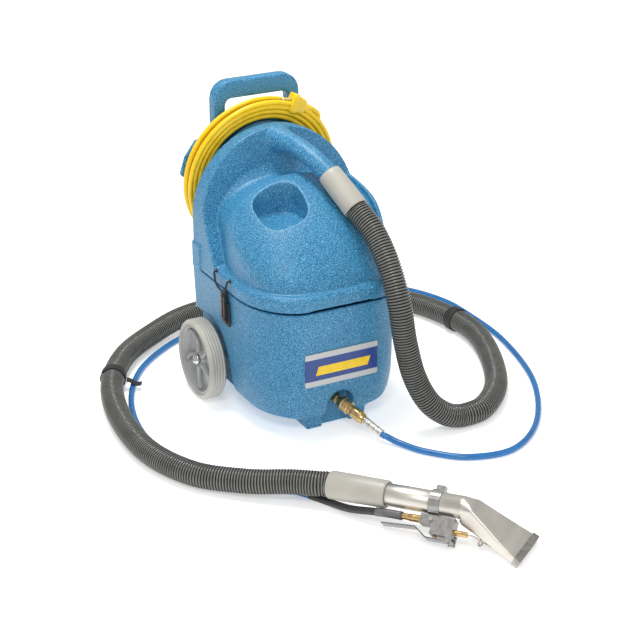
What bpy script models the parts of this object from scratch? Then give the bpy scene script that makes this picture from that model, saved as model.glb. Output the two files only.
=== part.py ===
"""Portable spot extractor: a wheeled moulded machine, its hoses, its power cord and its hand tool.

Metres, +Z up. The front faces -Y and +X is to the right of someone who looks at the front.
The origin is the centre of the front foot's underside, and the two wheels stand at the rear.
"""

import math

import bmesh
import bpy
from mathutils import Matrix, Vector

GAP = 0.0003  # clearance between pieces that touch
WALL = 0.005  # moulded wall of both tanks

# Base moulding: height, half width, half width of the flat front, front, depth of the front corners
BASE_SECTIONS = (
    (0.022, 0.106, 0.050, -0.034, 0.072),
    (0.034, 0.138, 0.060, -0.048, 0.100),
    (0.060, 0.151, 0.065, -0.054, 0.118),
    (0.092, 0.156, 0.066, -0.057, 0.122),
    (0.184, 0.158, 0.066, -0.057, 0.122),
    (0.262, 0.161, 0.068, -0.065, 0.132),
)
SEAM_Z = BASE_SECTIONS[-1][0]
BASE_REAR = 0.288
REAR_CORNER = 0.030
FOOT_HALF, FOOT_FRONT, FOOT_REAR = 0.067, -0.035, 0.035
NICHE_HALF, NICHE_TOP, NICHE_BACK = 0.028, 0.080, -0.025
FRONT_TANK_REAR = 0.082
BAY_FRONT, BAY_REAR, BAY_HALF, BAY_SHELF = 0.090, 0.272, 0.124, 0.100
BAY_TOP_HALF, BAY_TOP_REAR, BAY_TOP_Z = 0.145, 0.243, 0.195

# Recovery tank: place along Y, half width, top, height where the sides start to curve in
TANK_SECTIONS = (
    (-0.070, 0.072, 0.298, 0.292),
    (-0.060, 0.100, 0.322, 0.294),
    (-0.030, 0.135, 0.360, 0.298),
    (0.010, 0.152, 0.396, 0.310),
    (0.060, 0.160, 0.430, 0.330),
    (0.110, 0.162, 0.451, 0.350),
    (0.140, 0.162, 0.457, 0.358),
    (0.188, 0.162, 0.456, 0.362),
    (0.208, 0.164, 0.484, 0.364),
    (0.214, 0.167, 0.531, 0.364),
    (0.247, 0.167, 0.531, 0.364),
)
FLANGE_TOP, FLANGE_PROUD = 0.294, 0.004
TANK_REAR = TANK_SECTIONS[-1][0]
POCKET_X, POCKET_Y, POCKET_FLOOR = (-0.108, -0.012), (0.026, 0.124), 0.380
STANDPIPE_X, STANDPIPE_Y, STANDPIPE_R, STANDPIPE_TOP = -0.045, 0.180, 0.020, 0.372
SPOUT_ROUTE = ((0.003, 0.230, 0.499), (0.006, 0.215, 0.506), (0.018, 0.165, 0.504), (0.030, 0.118, 0.491),
               (0.045, 0.074, 0.4675))
SPOUT_R, SPOUT_BORE = 0.0195, 0.0160

# Rear column with its handle, and the coil of power cord that hangs round it
COLUMN_FRONT, COLUMN_HALF, COLUMN_DEPTH = 0.250, 0.114, 0.022
HANDLE_FRONT, HANDLE_REAR = 0.2935, 0.3205
HANDLE_HALF, HANDLE_TOP, HANDLE_FLOOR = 0.0925, 0.609, 0.529
HANDLE_POST, HANDLE_BAR = 0.027, 0.035
COIL_CENTRE = Vector((0.0, 0.2862, 0.413))
COIL_TILT = math.radians(7.07)
COIL_INNER, COIL_OUTER, COIL_DEPTH = 0.1190, 0.1610, 0.0312
CORD_R = 0.0051
# Where the cord turns up behind the strain relief, no tighter than four times its thickness
LEAD_BEND = ((0.0600, 0.3311, 0.1403), (0.0600, 0.3520, 0.1461), (0.0605, 0.3674, 0.1615),
             (0.0625, 0.3730, 0.1830), (0.0680, 0.3690, 0.2080), (0.0775, 0.3560, 0.2320),
             (0.0905, 0.3390, 0.2560))
PLUG_CENTRE = Vector((0.078, 0.2645, 0.5500))
PLUG_TURN = math.radians(-24)

# Latches: the hinge at the lower end of each toggle
LATCH_PIVOT_X, LATCH_PIVOT_Z = 0.1668, 0.1905

# Wheels
WHEEL_R, WHEEL_Y, WHEEL_INNER, WHEEL_OUTER = 0.0815, 0.198, 0.158, 0.195
RIM_R, AXLE_R, WELL_R, WELL_X = 0.070, 0.006, 0.0885, 0.1335

# Vacuum hose and solution hose: routes of their centrelines
CUFF_START = Vector(SPOUT_ROUTE[-1])
CUFF_AXIS = Vector((0.24, -0.77, -0.59)).normalized()
CUFF_LENGTH = 0.084
VAC_R, SOLUTION_R = 0.02325, 0.0062
VAC_LIE, VAC_STRAP_LIE, SOLUTION_LIE = 0.0238, 0.0264, 0.0066
VAC_ROUTE = (
    (0.078, -0.040, 0.382), (0.085, -0.086, 0.328), (0.090, -0.116, 0.262), (0.098, -0.128, 0.187),
    (0.115, -0.138, 0.114), (0.146, -0.152, 0.056), (0.198, -0.160, VAC_LIE), (0.262, -0.152, VAC_LIE),
    (0.340, -0.080, VAC_LIE), (0.405, 0.040, VAC_LIE), (0.438, 0.150, VAC_STRAP_LIE),
    (0.436, 0.245, VAC_STRAP_LIE), (0.403, 0.360, VAC_LIE), (0.320, 0.450, VAC_LIE),
    (0.190, 0.497, 0.0280), (0.050, 0.508, 0.0375), (-0.080, 0.498, 0.0375), (-0.185, 0.455, 0.0280),
    (-0.272, 0.385, VAC_STRAP_LIE), (-0.342, 0.272, VAC_STRAP_LIE), (-0.378, 0.135, VAC_LIE),
    (-0.383, -0.010, VAC_LIE), (-0.345, -0.125, VAC_LIE), (-0.275, -0.205, 0.0285),
    (-0.212, -0.257, 0.0365),
)
COUPLER_START = Vector((-0.005, NICHE_BACK - GAP, 0.0605))
COUPLER_AXIS = Vector((0.325, -0.892, -0.314)).normalized()
COUPLER_LENGTH = 0.135
SOLUTION_ROUTE = (
    (0.060, -0.178, 0.0085), (0.089, -0.228, SOLUTION_LIE), (0.149, -0.283, SOLUTION_LIE),
    (0.242, -0.294, SOLUTION_LIE), (0.344, -0.219, SOLUTION_LIE), (0.439, -0.068, SOLUTION_LIE),
    (0.492, 0.114, SOLUTION_LIE), (0.502, 0.262, SOLUTION_LIE), (0.491, 0.376, SOLUTION_LIE),
    (0.435, 0.480, SOLUTION_LIE), (0.320, 0.545, SOLUTION_LIE), (0.170, 0.572, SOLUTION_LIE),
    (0.050, 0.548, SOLUTION_LIE), (-0.060, 0.484, SOLUTION_LIE), (-0.158, 0.430, SOLUTION_LIE),
    (-0.246, 0.354, SOLUTION_LIE), (-0.312, 0.246, SOLUTION_LIE), (-0.348, 0.122, SOLUTION_LIE),
    (-0.350, -0.003, SOLUTION_LIE), (-0.315, -0.104, SOLUTION_LIE), (-0.253, -0.178, SOLUTION_LIE),
    (-0.200, -0.240, SOLUTION_LIE), (-0.166, -0.297, SOLUTION_LIE),
)

# Hand tool: the tube's start at the cuff, its direction, and the mouth that rests on the floor
TOOL_START = Vector((-0.0935, -0.398, 0.050))
TOOL_AXIS = Vector((0.570, -0.817, 0.079)).normalized()
TOOL_ELBOW, TOOL_TUBE_R, TOOL_CUFF_R, TOOL_CUFF_LENGTH = 0.141, 0.0205, 0.0255, 0.112
TOOL_MOUTH = Vector((0.056, -0.6115, 0.0070))
VALVE_ROLL = math.radians(46)
LEVER_PIVOT = (0.134, 0.0645)  # along the tube, and away from its axis
STEM_AT, VALVE_INLET = 0.104, 0.0330
SOLUTION_TOOL_STOPS = ((-0.070, 0.008, 0.0350), (-0.020, 0.0, 0.0345), (0.010, 0.0, 0.0330),
                       (0.0362, 0.0, 0.0330))
# Share of the way to the mouth, half width, half height
HEAD_SECTIONS = ((0.0, 0.0205, 0.0205), (0.08, 0.0215, 0.0200), (0.30, 0.0275, 0.0165),
                 (0.60, 0.0365, 0.0110), (0.90, 0.0450, 0.0062), (1.0, 0.0460, 0.0058))
LABEL_HALF, LABEL_LOW, LABEL_HIGH = 0.078, 0.102, 0.170
VAC_POINTS, SOLUTION_POINTS = 52, 78
STRAPS = (("strap_right", 0.437, 0.228), ("strap_left", -0.325, 0.306))


def use_collection(name):
    """A collection in the scene, found or made."""
    found = bpy.data.collections.get(name)
    if not found:
        found = bpy.data.collections.new(name)
        bpy.context.scene.collection.children.link(found)
    return found


def material(name, colour, roughness, metallic=0.0):
    """A plain Principled material."""
    made = bpy.data.materials.new(name)
    made.use_nodes = True
    shader = made.node_tree.nodes["Principled BSDF"]
    shader.inputs["Base Color"].default_value = (*colour, 1.0)
    shader.inputs["Roughness"].default_value = roughness
    shader.inputs["Metallic"].default_value = metallic
    return made


def place(name, data, look, cutter=False):
    """An object for this mesh or curve, in the parts or the cutters."""
    thing = bpy.data.objects.new(name, data)
    use_collection("cutters" if cutter else "spot_extractor").objects.link(thing)
    if cutter:
        thing.hide_render = True
        thing.display_type = "WIRE"
    else:
        data.materials.append(look)
    return thing


def mesh_of(name, shape):
    """Turn a bmesh into a mesh with outward faces."""
    bmesh.ops.recalc_face_normals(shape, faces=shape.faces)
    data = bpy.data.meshes.new(name)
    shape.to_mesh(data)
    shape.free()
    return data


def box(name, low, high, look=None, bevel=0.0, cutter=False):
    """A box between two corners, with its origin at its centre."""
    low, high = Vector(low), Vector(high)
    shape = bmesh.new()
    bmesh.ops.create_cube(shape, size=1.0)
    bmesh.ops.scale(shape, vec=high - low, verts=shape.verts)
    thing = place(name, mesh_of(name, shape), look, cutter)
    thing.location = (low + high) / 2
    if bevel:
        edge = thing.modifiers.new("Bevel", "BEVEL")
        edge.width = bevel
        edge.segments = 2
    return thing


def turn_to(thing, start, axis):
    """Put a piece made along +Z at start, pointing along axis."""
    thing.matrix_world = Matrix.Translation(start) @ Vector(axis).to_track_quat("Z", "Y").to_matrix().to_4x4()


def rod(name, start, axis, length, radius, look=None, sides=20, cutter=False):
    """A cylinder from start along axis."""
    shape = bmesh.new()
    lift = Matrix.Translation((0, 0, length / 2))
    bmesh.ops.create_cone(shape, cap_ends=True, segments=sides, radius1=radius, radius2=radius,
                          depth=length, matrix=lift)
    thing = place(name, mesh_of(name, shape), look, cutter)
    turn_to(thing, start, axis)
    return thing


def turned(name, profile, start, axis, look=None, steps=20, closed=False, cutter=False):
    """A profile of (radius, height) turned about axis. A closed profile makes a ring or a tube."""
    data = bpy.data.meshes.new(name)
    count = len(profile)
    edges = [(i, i + 1) for i in range(count - 1)]
    if closed:
        edges.append((count - 1, 0))
    data.from_pydata([(radius, 0, height) for radius, height in profile], edges, [])
    thing = place(name, data, look, cutter)
    screw = thing.modifiers.new("Screw", "SCREW")
    screw.steps = steps
    screw.render_steps = steps
    screw.use_merge_vertices = True
    screw.merge_threshold = 0.00001
    turn_to(thing, start, axis)
    return thing


def tube_profile(outer, inner, low, high):
    """Closed profile of a plain tube."""
    return [(outer, high), (outer, low), (inner, low), (inner, high)]


def loft(name, rings, look=None, cutter=False):
    """A closed skin over rings of the same number of points, capped at both ends."""
    shape = bmesh.new()
    rows = [[shape.verts.new(point) for point in ring] for ring in rings]
    for row, following in zip(rows, rows[1:]):
        for i in range(len(row)):
            j = (i + 1) % len(row)
            shape.faces.new((row[i], row[j], following[j], following[i]))
    shape.faces.new(rows[0][::-1])
    shape.faces.new(rows[-1])
    return place(name, mesh_of(name, shape), look, cutter)


def loft_pipe(name, outer, inner, look):
    """A skin over outer rings and back over inner rings, open at both ends."""
    shape = bmesh.new()
    rows = [[shape.verts.new(point) for point in ring] for ring in [*outer, *inner[::-1]]]
    for row, following in zip(rows, [*rows[1:], rows[0]]):
        for i in range(len(row)):
            j = (i + 1) % len(row)
            shape.faces.new((row[i], row[j], following[j], following[i]))
    return place(name, mesh_of(name, shape), look)


def cut(thing, *tools, operation="DIFFERENCE"):
    """Boolean each tool from, or into, a piece."""
    for tool in tools:
        boolean = thing.modifiers.new(operation.title(), "BOOLEAN")
        boolean.operation = operation
        boolean.object = tool
        boolean.solver = "EXACT"
    return thing


def smooth_route(stops, count, lowest=0.0):
    """This many evenly spaced points on a smooth curve through the stops, none under lowest."""
    stops = [Vector(stop) for stop in stops]
    padded = [2 * stops[0] - stops[1], *stops, 2 * stops[-1] - stops[-2]]
    fine, steps = [], 16
    for a, b, c, d in zip(padded, padded[1:], padded[2:], padded[3:]):
        for step in range(steps):
            t = step / steps
            fine.append(0.5 * (2 * b + (c - a) * t + (2 * a - 5 * b + 4 * c - d) * t**2
                               + (3 * b - a - 3 * c + d) * t**3))
    fine.append(stops[-1])
    run = [0.0]
    for a, b in zip(fine, fine[1:]):
        run.append(run[-1] + (b - a).length)
    points, at = [], 0
    for i in range(count):
        target = run[-1] * i / (count - 1)
        while at < len(run) - 2 and run[at + 1] < target:
            at += 1
        share = (target - run[at]) / (run[at + 1] - run[at])
        point = fine[at].lerp(fine[at + 1], min(max(share, 0.0), 1.0))
        point.z = max(point.z, lowest)
        points.append(point)
    return points


def square_ends(points, start_axis, finish_axis, straight=0.006):
    """The same points with a short straight run at each end, so that both caps are square to it."""
    first, last = points[0], points[-1]
    return [first, first + start_axis * straight, *points[1:-1], last - finish_axis * straight, last]


def cord(name, points, radius, look=None, resolution=2):
    """A round tube along points."""
    data = bpy.data.curves.new(name, "CURVE")
    data.dimensions = "3D"
    data.bevel_depth = radius
    data.bevel_resolution = resolution
    data.use_fill_caps = True
    data.render_resolution_u = 0
    spline = data.splines.new("POLY")
    spline.points.add(len(points) - 1)
    for slot, point in zip(spline.points, points):
        slot.co = (*point, 1.0)
    thing = bpy.data.objects.new(name, data)
    use_collection("spot_extractor").objects.link(thing)
    if look:
        data.materials.append(look)
    return thing


def cord_mesh(name, points, radius, resolution=4):
    """The same tube as a welded mesh among the cutters, for a Boolean."""
    curve = cord(name + "_curve", points, radius, resolution=resolution)
    evaluated = curve.evaluated_get(bpy.context.evaluated_depsgraph_get())
    data = bpy.data.meshes.new_from_object(evaluated)
    shape = bmesh.new()
    shape.from_mesh(data)
    bmesh.ops.remove_doubles(shape, verts=shape.verts, dist=0.00001)
    shape.to_mesh(data)
    shape.free()
    bpy.data.objects.remove(curve)
    return place(name, data, None, cutter=True)


def plate(name, outline, thickness, look=None, cutter=False):
    """A flat outline in X and Z, drawn through the XZ plane and thick along Y."""
    shape = bmesh.new()
    near = [shape.verts.new((x, -thickness / 2, z)) for x, z in outline]
    far = [shape.verts.new((x, thickness / 2, z)) for x, z in outline]
    shape.faces.new(near)
    shape.faces.new(far[::-1])
    for i in range(len(outline)):
        j = (i + 1) % len(outline)
        shape.faces.new((near[j], near[i], far[i], far[j]))
    return place(name, mesh_of(name, shape), look, cutter)


def plan_ring(z, half, flat, front, depth, rear=BASE_REAR, inset=0.0, corner=REAR_CORNER):
    """Plan of the machine at one height: flat front, long elliptical corners, square rear."""
    half, front, rear = half - inset, front + inset, rear - inset
    side = []
    for step in range(8):
        turn = math.pi / 2 * step / 7
        side.append((flat + (half - flat) * math.sin(turn), front + depth * (1 - math.cos(turn))))
    for step in range(4):
        turn = math.pi / 2 * step / 3
        side.append((half - corner * (1 - math.cos(turn)), rear - corner * (1 - math.sin(turn))))
    left = [(-x, y) for x, y in reversed(side)]
    return [(x, y, z) for x, y in [*side, *left]]


def arch_ring(y, half, top, spring, floor=SEAM_Z + GAP, inset=0.0, steps=10):
    """Upright section of the recovery tank: straight sides under a half ellipse."""
    half, top = half - inset, top - inset
    points = [(half, floor)]
    for step in range(steps + 1):
        turn = math.pi * step / steps
        points.append((half * math.cos(turn), spring + (top - spring) * math.sin(turn)))
    points.append((-half, floor))
    return [(x, y, z) for x, z in points]


def make_base(looks):
    """Lower moulding: the solution tank in front, the motor bay behind, the foot and the wheel wells."""
    base = loft("base_tank", [plan_ring(*section) for section in BASE_SECTIONS], looks["shell"])
    foot = box("foot_add", (-FOOT_HALF, FOOT_FRONT, 0), (FOOT_HALF, FOOT_REAR, 0.045), cutter=True)
    cut(base, foot, operation="UNION")
    rings = []
    for z, half, flat, front, depth in BASE_SECTIONS[1:]:
        rings.append(plan_ring(z, half, flat, front, depth, FRONT_TANK_REAR + WALL, WALL, 0.006))
    rings.append([(x, y, SEAM_Z + 0.02) for x, y, _ in rings[-1]])
    tank = loft("front_tank_cut", rings, cutter=True)
    wall = NICHE_HALF + WALL
    cut(tank, box("niche_wall", (-wall, -0.1, 0), (wall, NICHE_BACK + WALL, NICHE_TOP + WALL), cutter=True))
    niche = box("niche_cut", (-NICHE_HALF, -0.1, -0.01), (NICHE_HALF, NICHE_BACK, NICHE_TOP), cutter=True)
    low_bay = box("low_bay_cut", (-BAY_HALF, BAY_FRONT, 0.032), (BAY_HALF, BAY_REAR, 0.2), cutter=True)
    high_bay = box("high_bay_cut", (-BAY_TOP_HALF, BAY_FRONT, BAY_TOP_Z),
                   (BAY_TOP_HALF, BAY_TOP_REAR, SEAM_Z + 0.02), cutter=True)
    switch_hole = box("switch_hole_cut", (-0.080, BAY_REAR - 0.01, 0.112), (0.020, 0.3, 0.158), cutter=True)
    cut(base, tank, niche, low_bay, high_bay, switch_hole)
    for side, name in ((-1, "left"), (1, "right")):
        start = (side * WELL_X, WHEEL_Y, WHEEL_R)
        well = rod(f"well_{name}_cut", start, (side, 0, 0), 0.07, WELL_R, sides=32, cutter=True)
        xs = sorted((side * WELL_X, side * 0.2))
        tail = box(f"tail_{name}_cut", (xs[0], WHEEL_Y, -0.01), (xs[1], 0.32, WHEEL_R + WELL_R - 0.005),
                   cutter=True)
        cut(base, well, tail)
    cut(base, rod("axle_hole_cut", (-0.2, WHEEL_Y, WHEEL_R), (1, 0, 0), 0.4, AXLE_R + GAP, cutter=True))
    line_hole = rod("line_hole_cut", (0.076, 0.07, 0.222), (0, 1, 0), 0.03, 0.0052, cutter=True)
    suction_hole = rod("suction_hole_cut", (0.104, 0.07, 0.222), (0, 1, 0), 0.03, 0.0052, cutter=True)
    port = rod("port_cut", COUPLER_START + Vector((0, -0.01, 0)), (0, 1, 0), 0.02, 0.0052, cutter=True)
    cut(base, line_hole, suction_hole, port)
    return base


def make_column(looks):
    """Rear column: an arched plate that the cord hangs on, its hooks, and the carrying handle."""
    arch = [(-COLUMN_HALF, SEAM_Z + GAP), (COLUMN_HALF, SEAM_Z + GAP)]
    for step in range(15):
        turn = math.pi * step / 14
        arch.append((COLUMN_HALF * math.cos(turn), COIL_CENTRE.z + COLUMN_HALF * math.sin(turn)))
    column = plate("rear_column", arch, COLUMN_DEPTH, looks["shell"])
    column.location.y = COLUMN_FRONT + COLUMN_DEPTH / 2
    low_boss = box("low_boss_add", (-HANDLE_HALF, COLUMN_FRONT + 0.01, 0.425),
                   (HANDLE_HALF, HANDLE_REAR, 0.472), cutter=True)
    high_boss = box("high_boss_add", (-HANDLE_HALF, HANDLE_FRONT, 0.465),
                    (HANDLE_HALF, HANDLE_REAR, HANDLE_FLOOR), cutter=True)
    corner, inner = 0.028, 0.014
    low, half, top = HANDLE_FLOOR - 0.03, HANDLE_HALF, HANDLE_TOP
    outline = [(half, low)]
    for side in (1, -1):
        for step in range(6):
            turn = math.pi / 2 * (step / 5 if side > 0 else 1 - step / 5)
            inward, down = corner * (1 - math.cos(turn)), corner * (1 - math.sin(turn))
            outline.append((side * (half - inward), top - down))
    outline.append((-half, low))
    middle = (HANDLE_FRONT + HANDLE_REAR) / 2
    loop = plate("handle_add", outline, HANDLE_REAR - HANDLE_FRONT, cutter=True)
    loop.location.y = middle
    hole_half, hole_top = half - HANDLE_POST, top - HANDLE_BAR
    hole = [(hole_half, HANDLE_FLOOR)]
    for side in (1, -1):
        for step in range(4):
            turn = math.pi / 2 * (step / 3 if side > 0 else 1 - step / 3)
            hole.append((side * (hole_half - inner * (1 - math.cos(turn))),
                         hole_top - inner * (1 - math.sin(turn))))
    hole.append((-hole_half, HANDLE_FLOOR))
    gap = plate("handle_gap_cut", hole, 0.1, cutter=True)
    gap.location.y = middle
    cut(loop, gap)
    hooks = [(0.06, 0.412), (0.150, 0.418), (0.163, 0.430), (0.152, 0.464), (0.128, 0.496), (0.06, 0.503)]
    fin_outline = [*hooks, *[(-x, z) for x, z in reversed(hooks)]]
    fins = plate("hook_add", fin_outline, 0.008, cutter=True)
    fins.location.y = 0.3115
    cut(column, low_boss, high_boss, loop, fins, operation="UNION")
    return column


def make_tank(looks):
    """Recovery tank: flange, hood and rear arch in one hollow moulding, with a pocket and a hose spout."""
    tank = loft("recovery_tank", [arch_ring(*section) for section in TANK_SECTIONS], looks["shell"])
    half, flat, front, depth = BASE_SECTIONS[-1][1:]
    rings = []
    for height in (SEAM_Z + GAP, FLANGE_TOP):
        rings.append(plan_ring(height, half + FLANGE_PROUD, flat, front - FLANGE_PROUD, depth, TANK_REAR))
    cut(tank, loft("flange_add", rings, cutter=True), operation="UNION")
    spout_points = square_ends(smooth_route(SPOUT_ROUTE, 6), Vector((0, -1, 0)), CUFF_AXIS)
    cut(tank, cord_mesh("spout_add", spout_points, SPOUT_R, 3), operation="UNION")
    hollow = []
    for y, width, top, spring in TANK_SECTIONS[1:]:
        shift = -WALL if y == TANK_REAR else WALL
        hollow.append(arch_ring(y + shift, width, top, spring, SEAM_Z + WALL, WALL))
    cavity = loft("cavity_cut", hollow, cutter=True)
    (x0, x1), (y0, y1) = POCKET_X, POCKET_Y
    guard = box("pocket_wall", (x0 - WALL, y0 - WALL, POCKET_FLOOR - WALL), (x1 + WALL, y1 + WALL, 0.6),
                cutter=True)
    cut(cavity, guard)
    pocket = box("pocket_cut", (x0, y0, POCKET_FLOOR), (x1, y1, 0.6), cutter=True)
    bore_route = smooth_route([*SPOUT_ROUTE, Vector(SPOUT_ROUTE[-1]) + CUFF_AXIS * 0.01], 8)
    bore = cord_mesh("spout_bore_cut", bore_route, SPOUT_BORE, 3)
    drain = rod("standpipe_cut", (STANDPIPE_X, STANDPIPE_Y, SEAM_Z - 0.01), (0, 0, 1), 0.02,
                STANDPIPE_R + GAP, cutter=True)
    cut(tank, cavity, pocket, bore, drain)
    return tank


def make_intake(looks):
    """Air path out of the recovery tank: gasket, standpipe, float cage and float."""
    centre = Vector((STANDPIPE_X, STANDPIPE_Y, 0))
    up = (0, 0, 1)
    floor = SEAM_Z + WALL
    turned("standpipe", tube_profile(STANDPIPE_R, 0.0170, SEAM_Z + GAP, STANDPIPE_TOP), centre, up,
           looks["white"], closed=True)
    turned("tank_gasket", tube_profile(0.031, STANDPIPE_R + GAP, floor + GAP, floor + 0.004), centre, up,
           looks["rubber"], closed=True)
    low, high = STANDPIPE_TOP + GAP, STANDPIPE_TOP + 0.046
    cage_profile = [(0.022, high), (0.022, low), (0.015, low), (0.015, low + 0.003), (0.0195, low + 0.003),
                    (0.0195, high)]
    cage = turned("float_cage", cage_profile, centre, up, looks["white"], closed=True)
    for turn in (0, math.pi / 2):
        slot = box(f"cage_slot_{turn:.0f}_cut", (-0.03, -0.008, low + 0.008), (0.03, 0.008, high - 0.006),
                   cutter=True)
        slot.location += centre
        slot.rotation_euler.z = turn
        cut(cage, slot)
    shape = bmesh.new()
    bmesh.ops.create_uvsphere(shape, u_segments=16, v_segments=10, radius=0.0165)
    ball = place("float_ball", mesh_of("float_ball", shape), looks["orange"])
    ball.location = centre + Vector((0, 0, low + 0.0215))


def make_motor_bay(looks):
    """What the bay behind the solution tank holds: shelf, vacuum motor, pump and their rotors."""
    box("motor_shelf", (-0.122, BAY_FRONT + 0.001, BAY_SHELF), (0.122, BAY_REAR - 0.001, 0.104),
                looks["steel"])
    up = (0, 0, 1)
    centre = Vector((STANDPIPE_X, STANDPIPE_Y, 0))
    low, high = 0.104 + GAP, 0.240
    turned("vac_motor", [(0.030, high), (0.058, high - 0.006), (0.058, 0.178), (0.046, 0.172), (0.046, low),
                         (0.010, low), (0.010, 0.130), (0.036, 0.130), (0.036, 0.180), (0.053, 0.186),
                         (0.053, 0.230), (0.018, 0.234), (0.018, high)],
           centre, up, looks["motor"], closed=True)
    turned("vac_impeller", [(0.0, 0.222), (0.006, 0.222), (0.049, 0.212), (0.049, 0.194), (0.008, 0.192),
                            (0.008, 0.188), (0.030, 0.184), (0.030, 0.140), (0.008, 0.138), (0.008, 0.112),
                            (0.0, 0.112)], centre, up, looks["steel"])
    pump = Vector((0.078, 0.160, 0))
    motor_profile = [(0.0, 0.196), (0.030, 0.196), (0.030, low), (0.0, low)]
    motor = turned("pump_motor", motor_profile, pump, up, looks["motor"])
    cut(motor, rod("pump_bore_cut", pump + Vector((0, 0, 0.115)), up, 0.1, 0.024, cutter=True))
    turned("pump_rotor", [(0.0, 0.212), (0.004, 0.212), (0.004, 0.190), (0.021, 0.186), (0.021, 0.120),
                          (0.0, 0.120)], pump, up, looks["steel"])
    head = box("pump_head", (0.048, 0.128, 0.1963), (0.112, 0.190, 0.240), looks["black"])
    cut(head, rod("pump_head_bore_cut", pump + Vector((0, 0, 0.19)), up, 0.03, 0.0048, cutter=True))


def make_solution_line(looks):
    """Solution path inside: filter, suction line, and pressure line to the front port."""
    foot = Vector((0.104, 0.052, 0.036))
    turned("solution_filter", [(0.0, 0.030), (0.009, 0.030), (0.012, 0.026), (0.012, 0.002), (0.0, 0.002)],
           foot, (0, 0, 1), looks["white"])
    lift = foot + Vector((0, 0, 0.030 + GAP))
    suction = [lift, lift + Vector((0, 0, 0.06)), (0.104, 0.053, 0.180), (0.104, 0.062, 0.214),
               (0.104, 0.082, 0.222), (0.104, 0.100, 0.222), (0.104, 0.128 - GAP, 0.222)]
    cord("suction_line", smooth_route(suction, 16), 0.0045, looks["clear_tube"])
    pressure = [(0.076, 0.128 - GAP, 0.222), (0.076, 0.106, 0.222), (0.076, 0.084, 0.222),
                (0.076, 0.066, 0.220), (0.070, 0.046, 0.200),
                (0.055, 0.030, 0.150), (0.020, 0.020, 0.090), (0.0, 0.006, 0.064),
                COUPLER_START + Vector((0, 0.014, 0))]
    cord("pressure_line", smooth_route(pressure, 20), 0.0045, looks["clear_tube"])


def make_rear_panel(looks):
    """Switch panel on the rear, its two rocker switches, and the power cord's strain relief."""
    face = BASE_REAR + GAP
    panel = box("switch_panel", (-0.090, face, 0.102), (0.030, face + 0.004, 0.168), looks["black"], 0.0008)
    for name, x in (("vacuum_switch", -0.052), ("pump_switch", -0.008)):
        hole = (Vector((x - 0.0105, 0.28, 0.119)), Vector((x + 0.0105, 0.30, 0.151)))
        cut(panel, box(f"{name}_hole_cut", *hole, cutter=True))
        rocker = box(name, (x - 0.0095, face - 0.003, 0.121), (x + 0.0095, face + 0.007, 0.149), looks["red"])
        rocker.rotation_euler.x = math.radians(-8)
    relief = [(0.0, 0.030), (0.0058, 0.030), (0.0085, 0.006), (0.0085, 0.0), (0.0, 0.0)]
    turned("strain_relief", relief, (0.060, face, 0.140), (0, 1, 0), looks["rubber"], steps=16)


def make_wheels(looks):
    """Axle, and on each side a washer, a hub with its tyre, and the cap nut that keeps them on."""
    axle_end = WHEEL_OUTER - 0.006
    rod("axle", (-axle_end, WHEEL_Y, WHEEL_R), (1, 0, 0), 2 * axle_end, AXLE_R, looks["steel"])
    width = WHEEL_OUTER - WHEEL_INNER
    bore = AXLE_R + GAP
    hub_profile = [(RIM_R, width - 0.004), (RIM_R, 0.004), (RIM_R - 0.005, 0.004), (RIM_R - 0.005, 0.014),
                   (0.014, 0.014), (0.014, 0.001), (bore, 0.001), (bore, width - 0.010),
                   (0.014, width - 0.010), (0.014, 0.020), (RIM_R - 0.005, 0.020),
                   (RIM_R - 0.005, width - 0.004)]
    tyre_profile = [(RIM_R + GAP, width - 0.002), (WHEEL_R - 0.008, width), (WHEEL_R - 0.003, width - 0.004),
                    (WHEEL_R, width - 0.010), (WHEEL_R, 0.010), (WHEEL_R - 0.003, 0.004),
                    (WHEEL_R - 0.008, 0.0), (RIM_R + GAP, 0.002)]
    for side, name in ((-1, "left"), (1, "right")):
        start, axis = (side * WHEEL_INNER, WHEEL_Y, WHEEL_R), (side, 0, 0)
        turned(f"wheel_hub_{name}", hub_profile, start, axis, looks["hub"], 24, True)
        turned(f"tyre_{name}", tyre_profile, start, axis, looks["tyre"], 36, True)
        washer = tube_profile(0.012, bore, -0.0035, -0.0020)
        turned(f"axle_washer_{name}", washer, start, axis, looks["steel"], 20, True)
        nut_start = (side * (axle_end + GAP), WHEEL_Y, WHEEL_R)
        nut = [(0.0, 0.007), (0.006, 0.0055), (0.010, 0.001), (0.010, -0.004), (AXLE_R + GAP, -0.004),
               (AXLE_R + GAP, 0.0), (0.0, 0.0)]
        turned(f"cap_nut_{name}", nut, nut_start, axis, looks["chrome"], 12)


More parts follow.
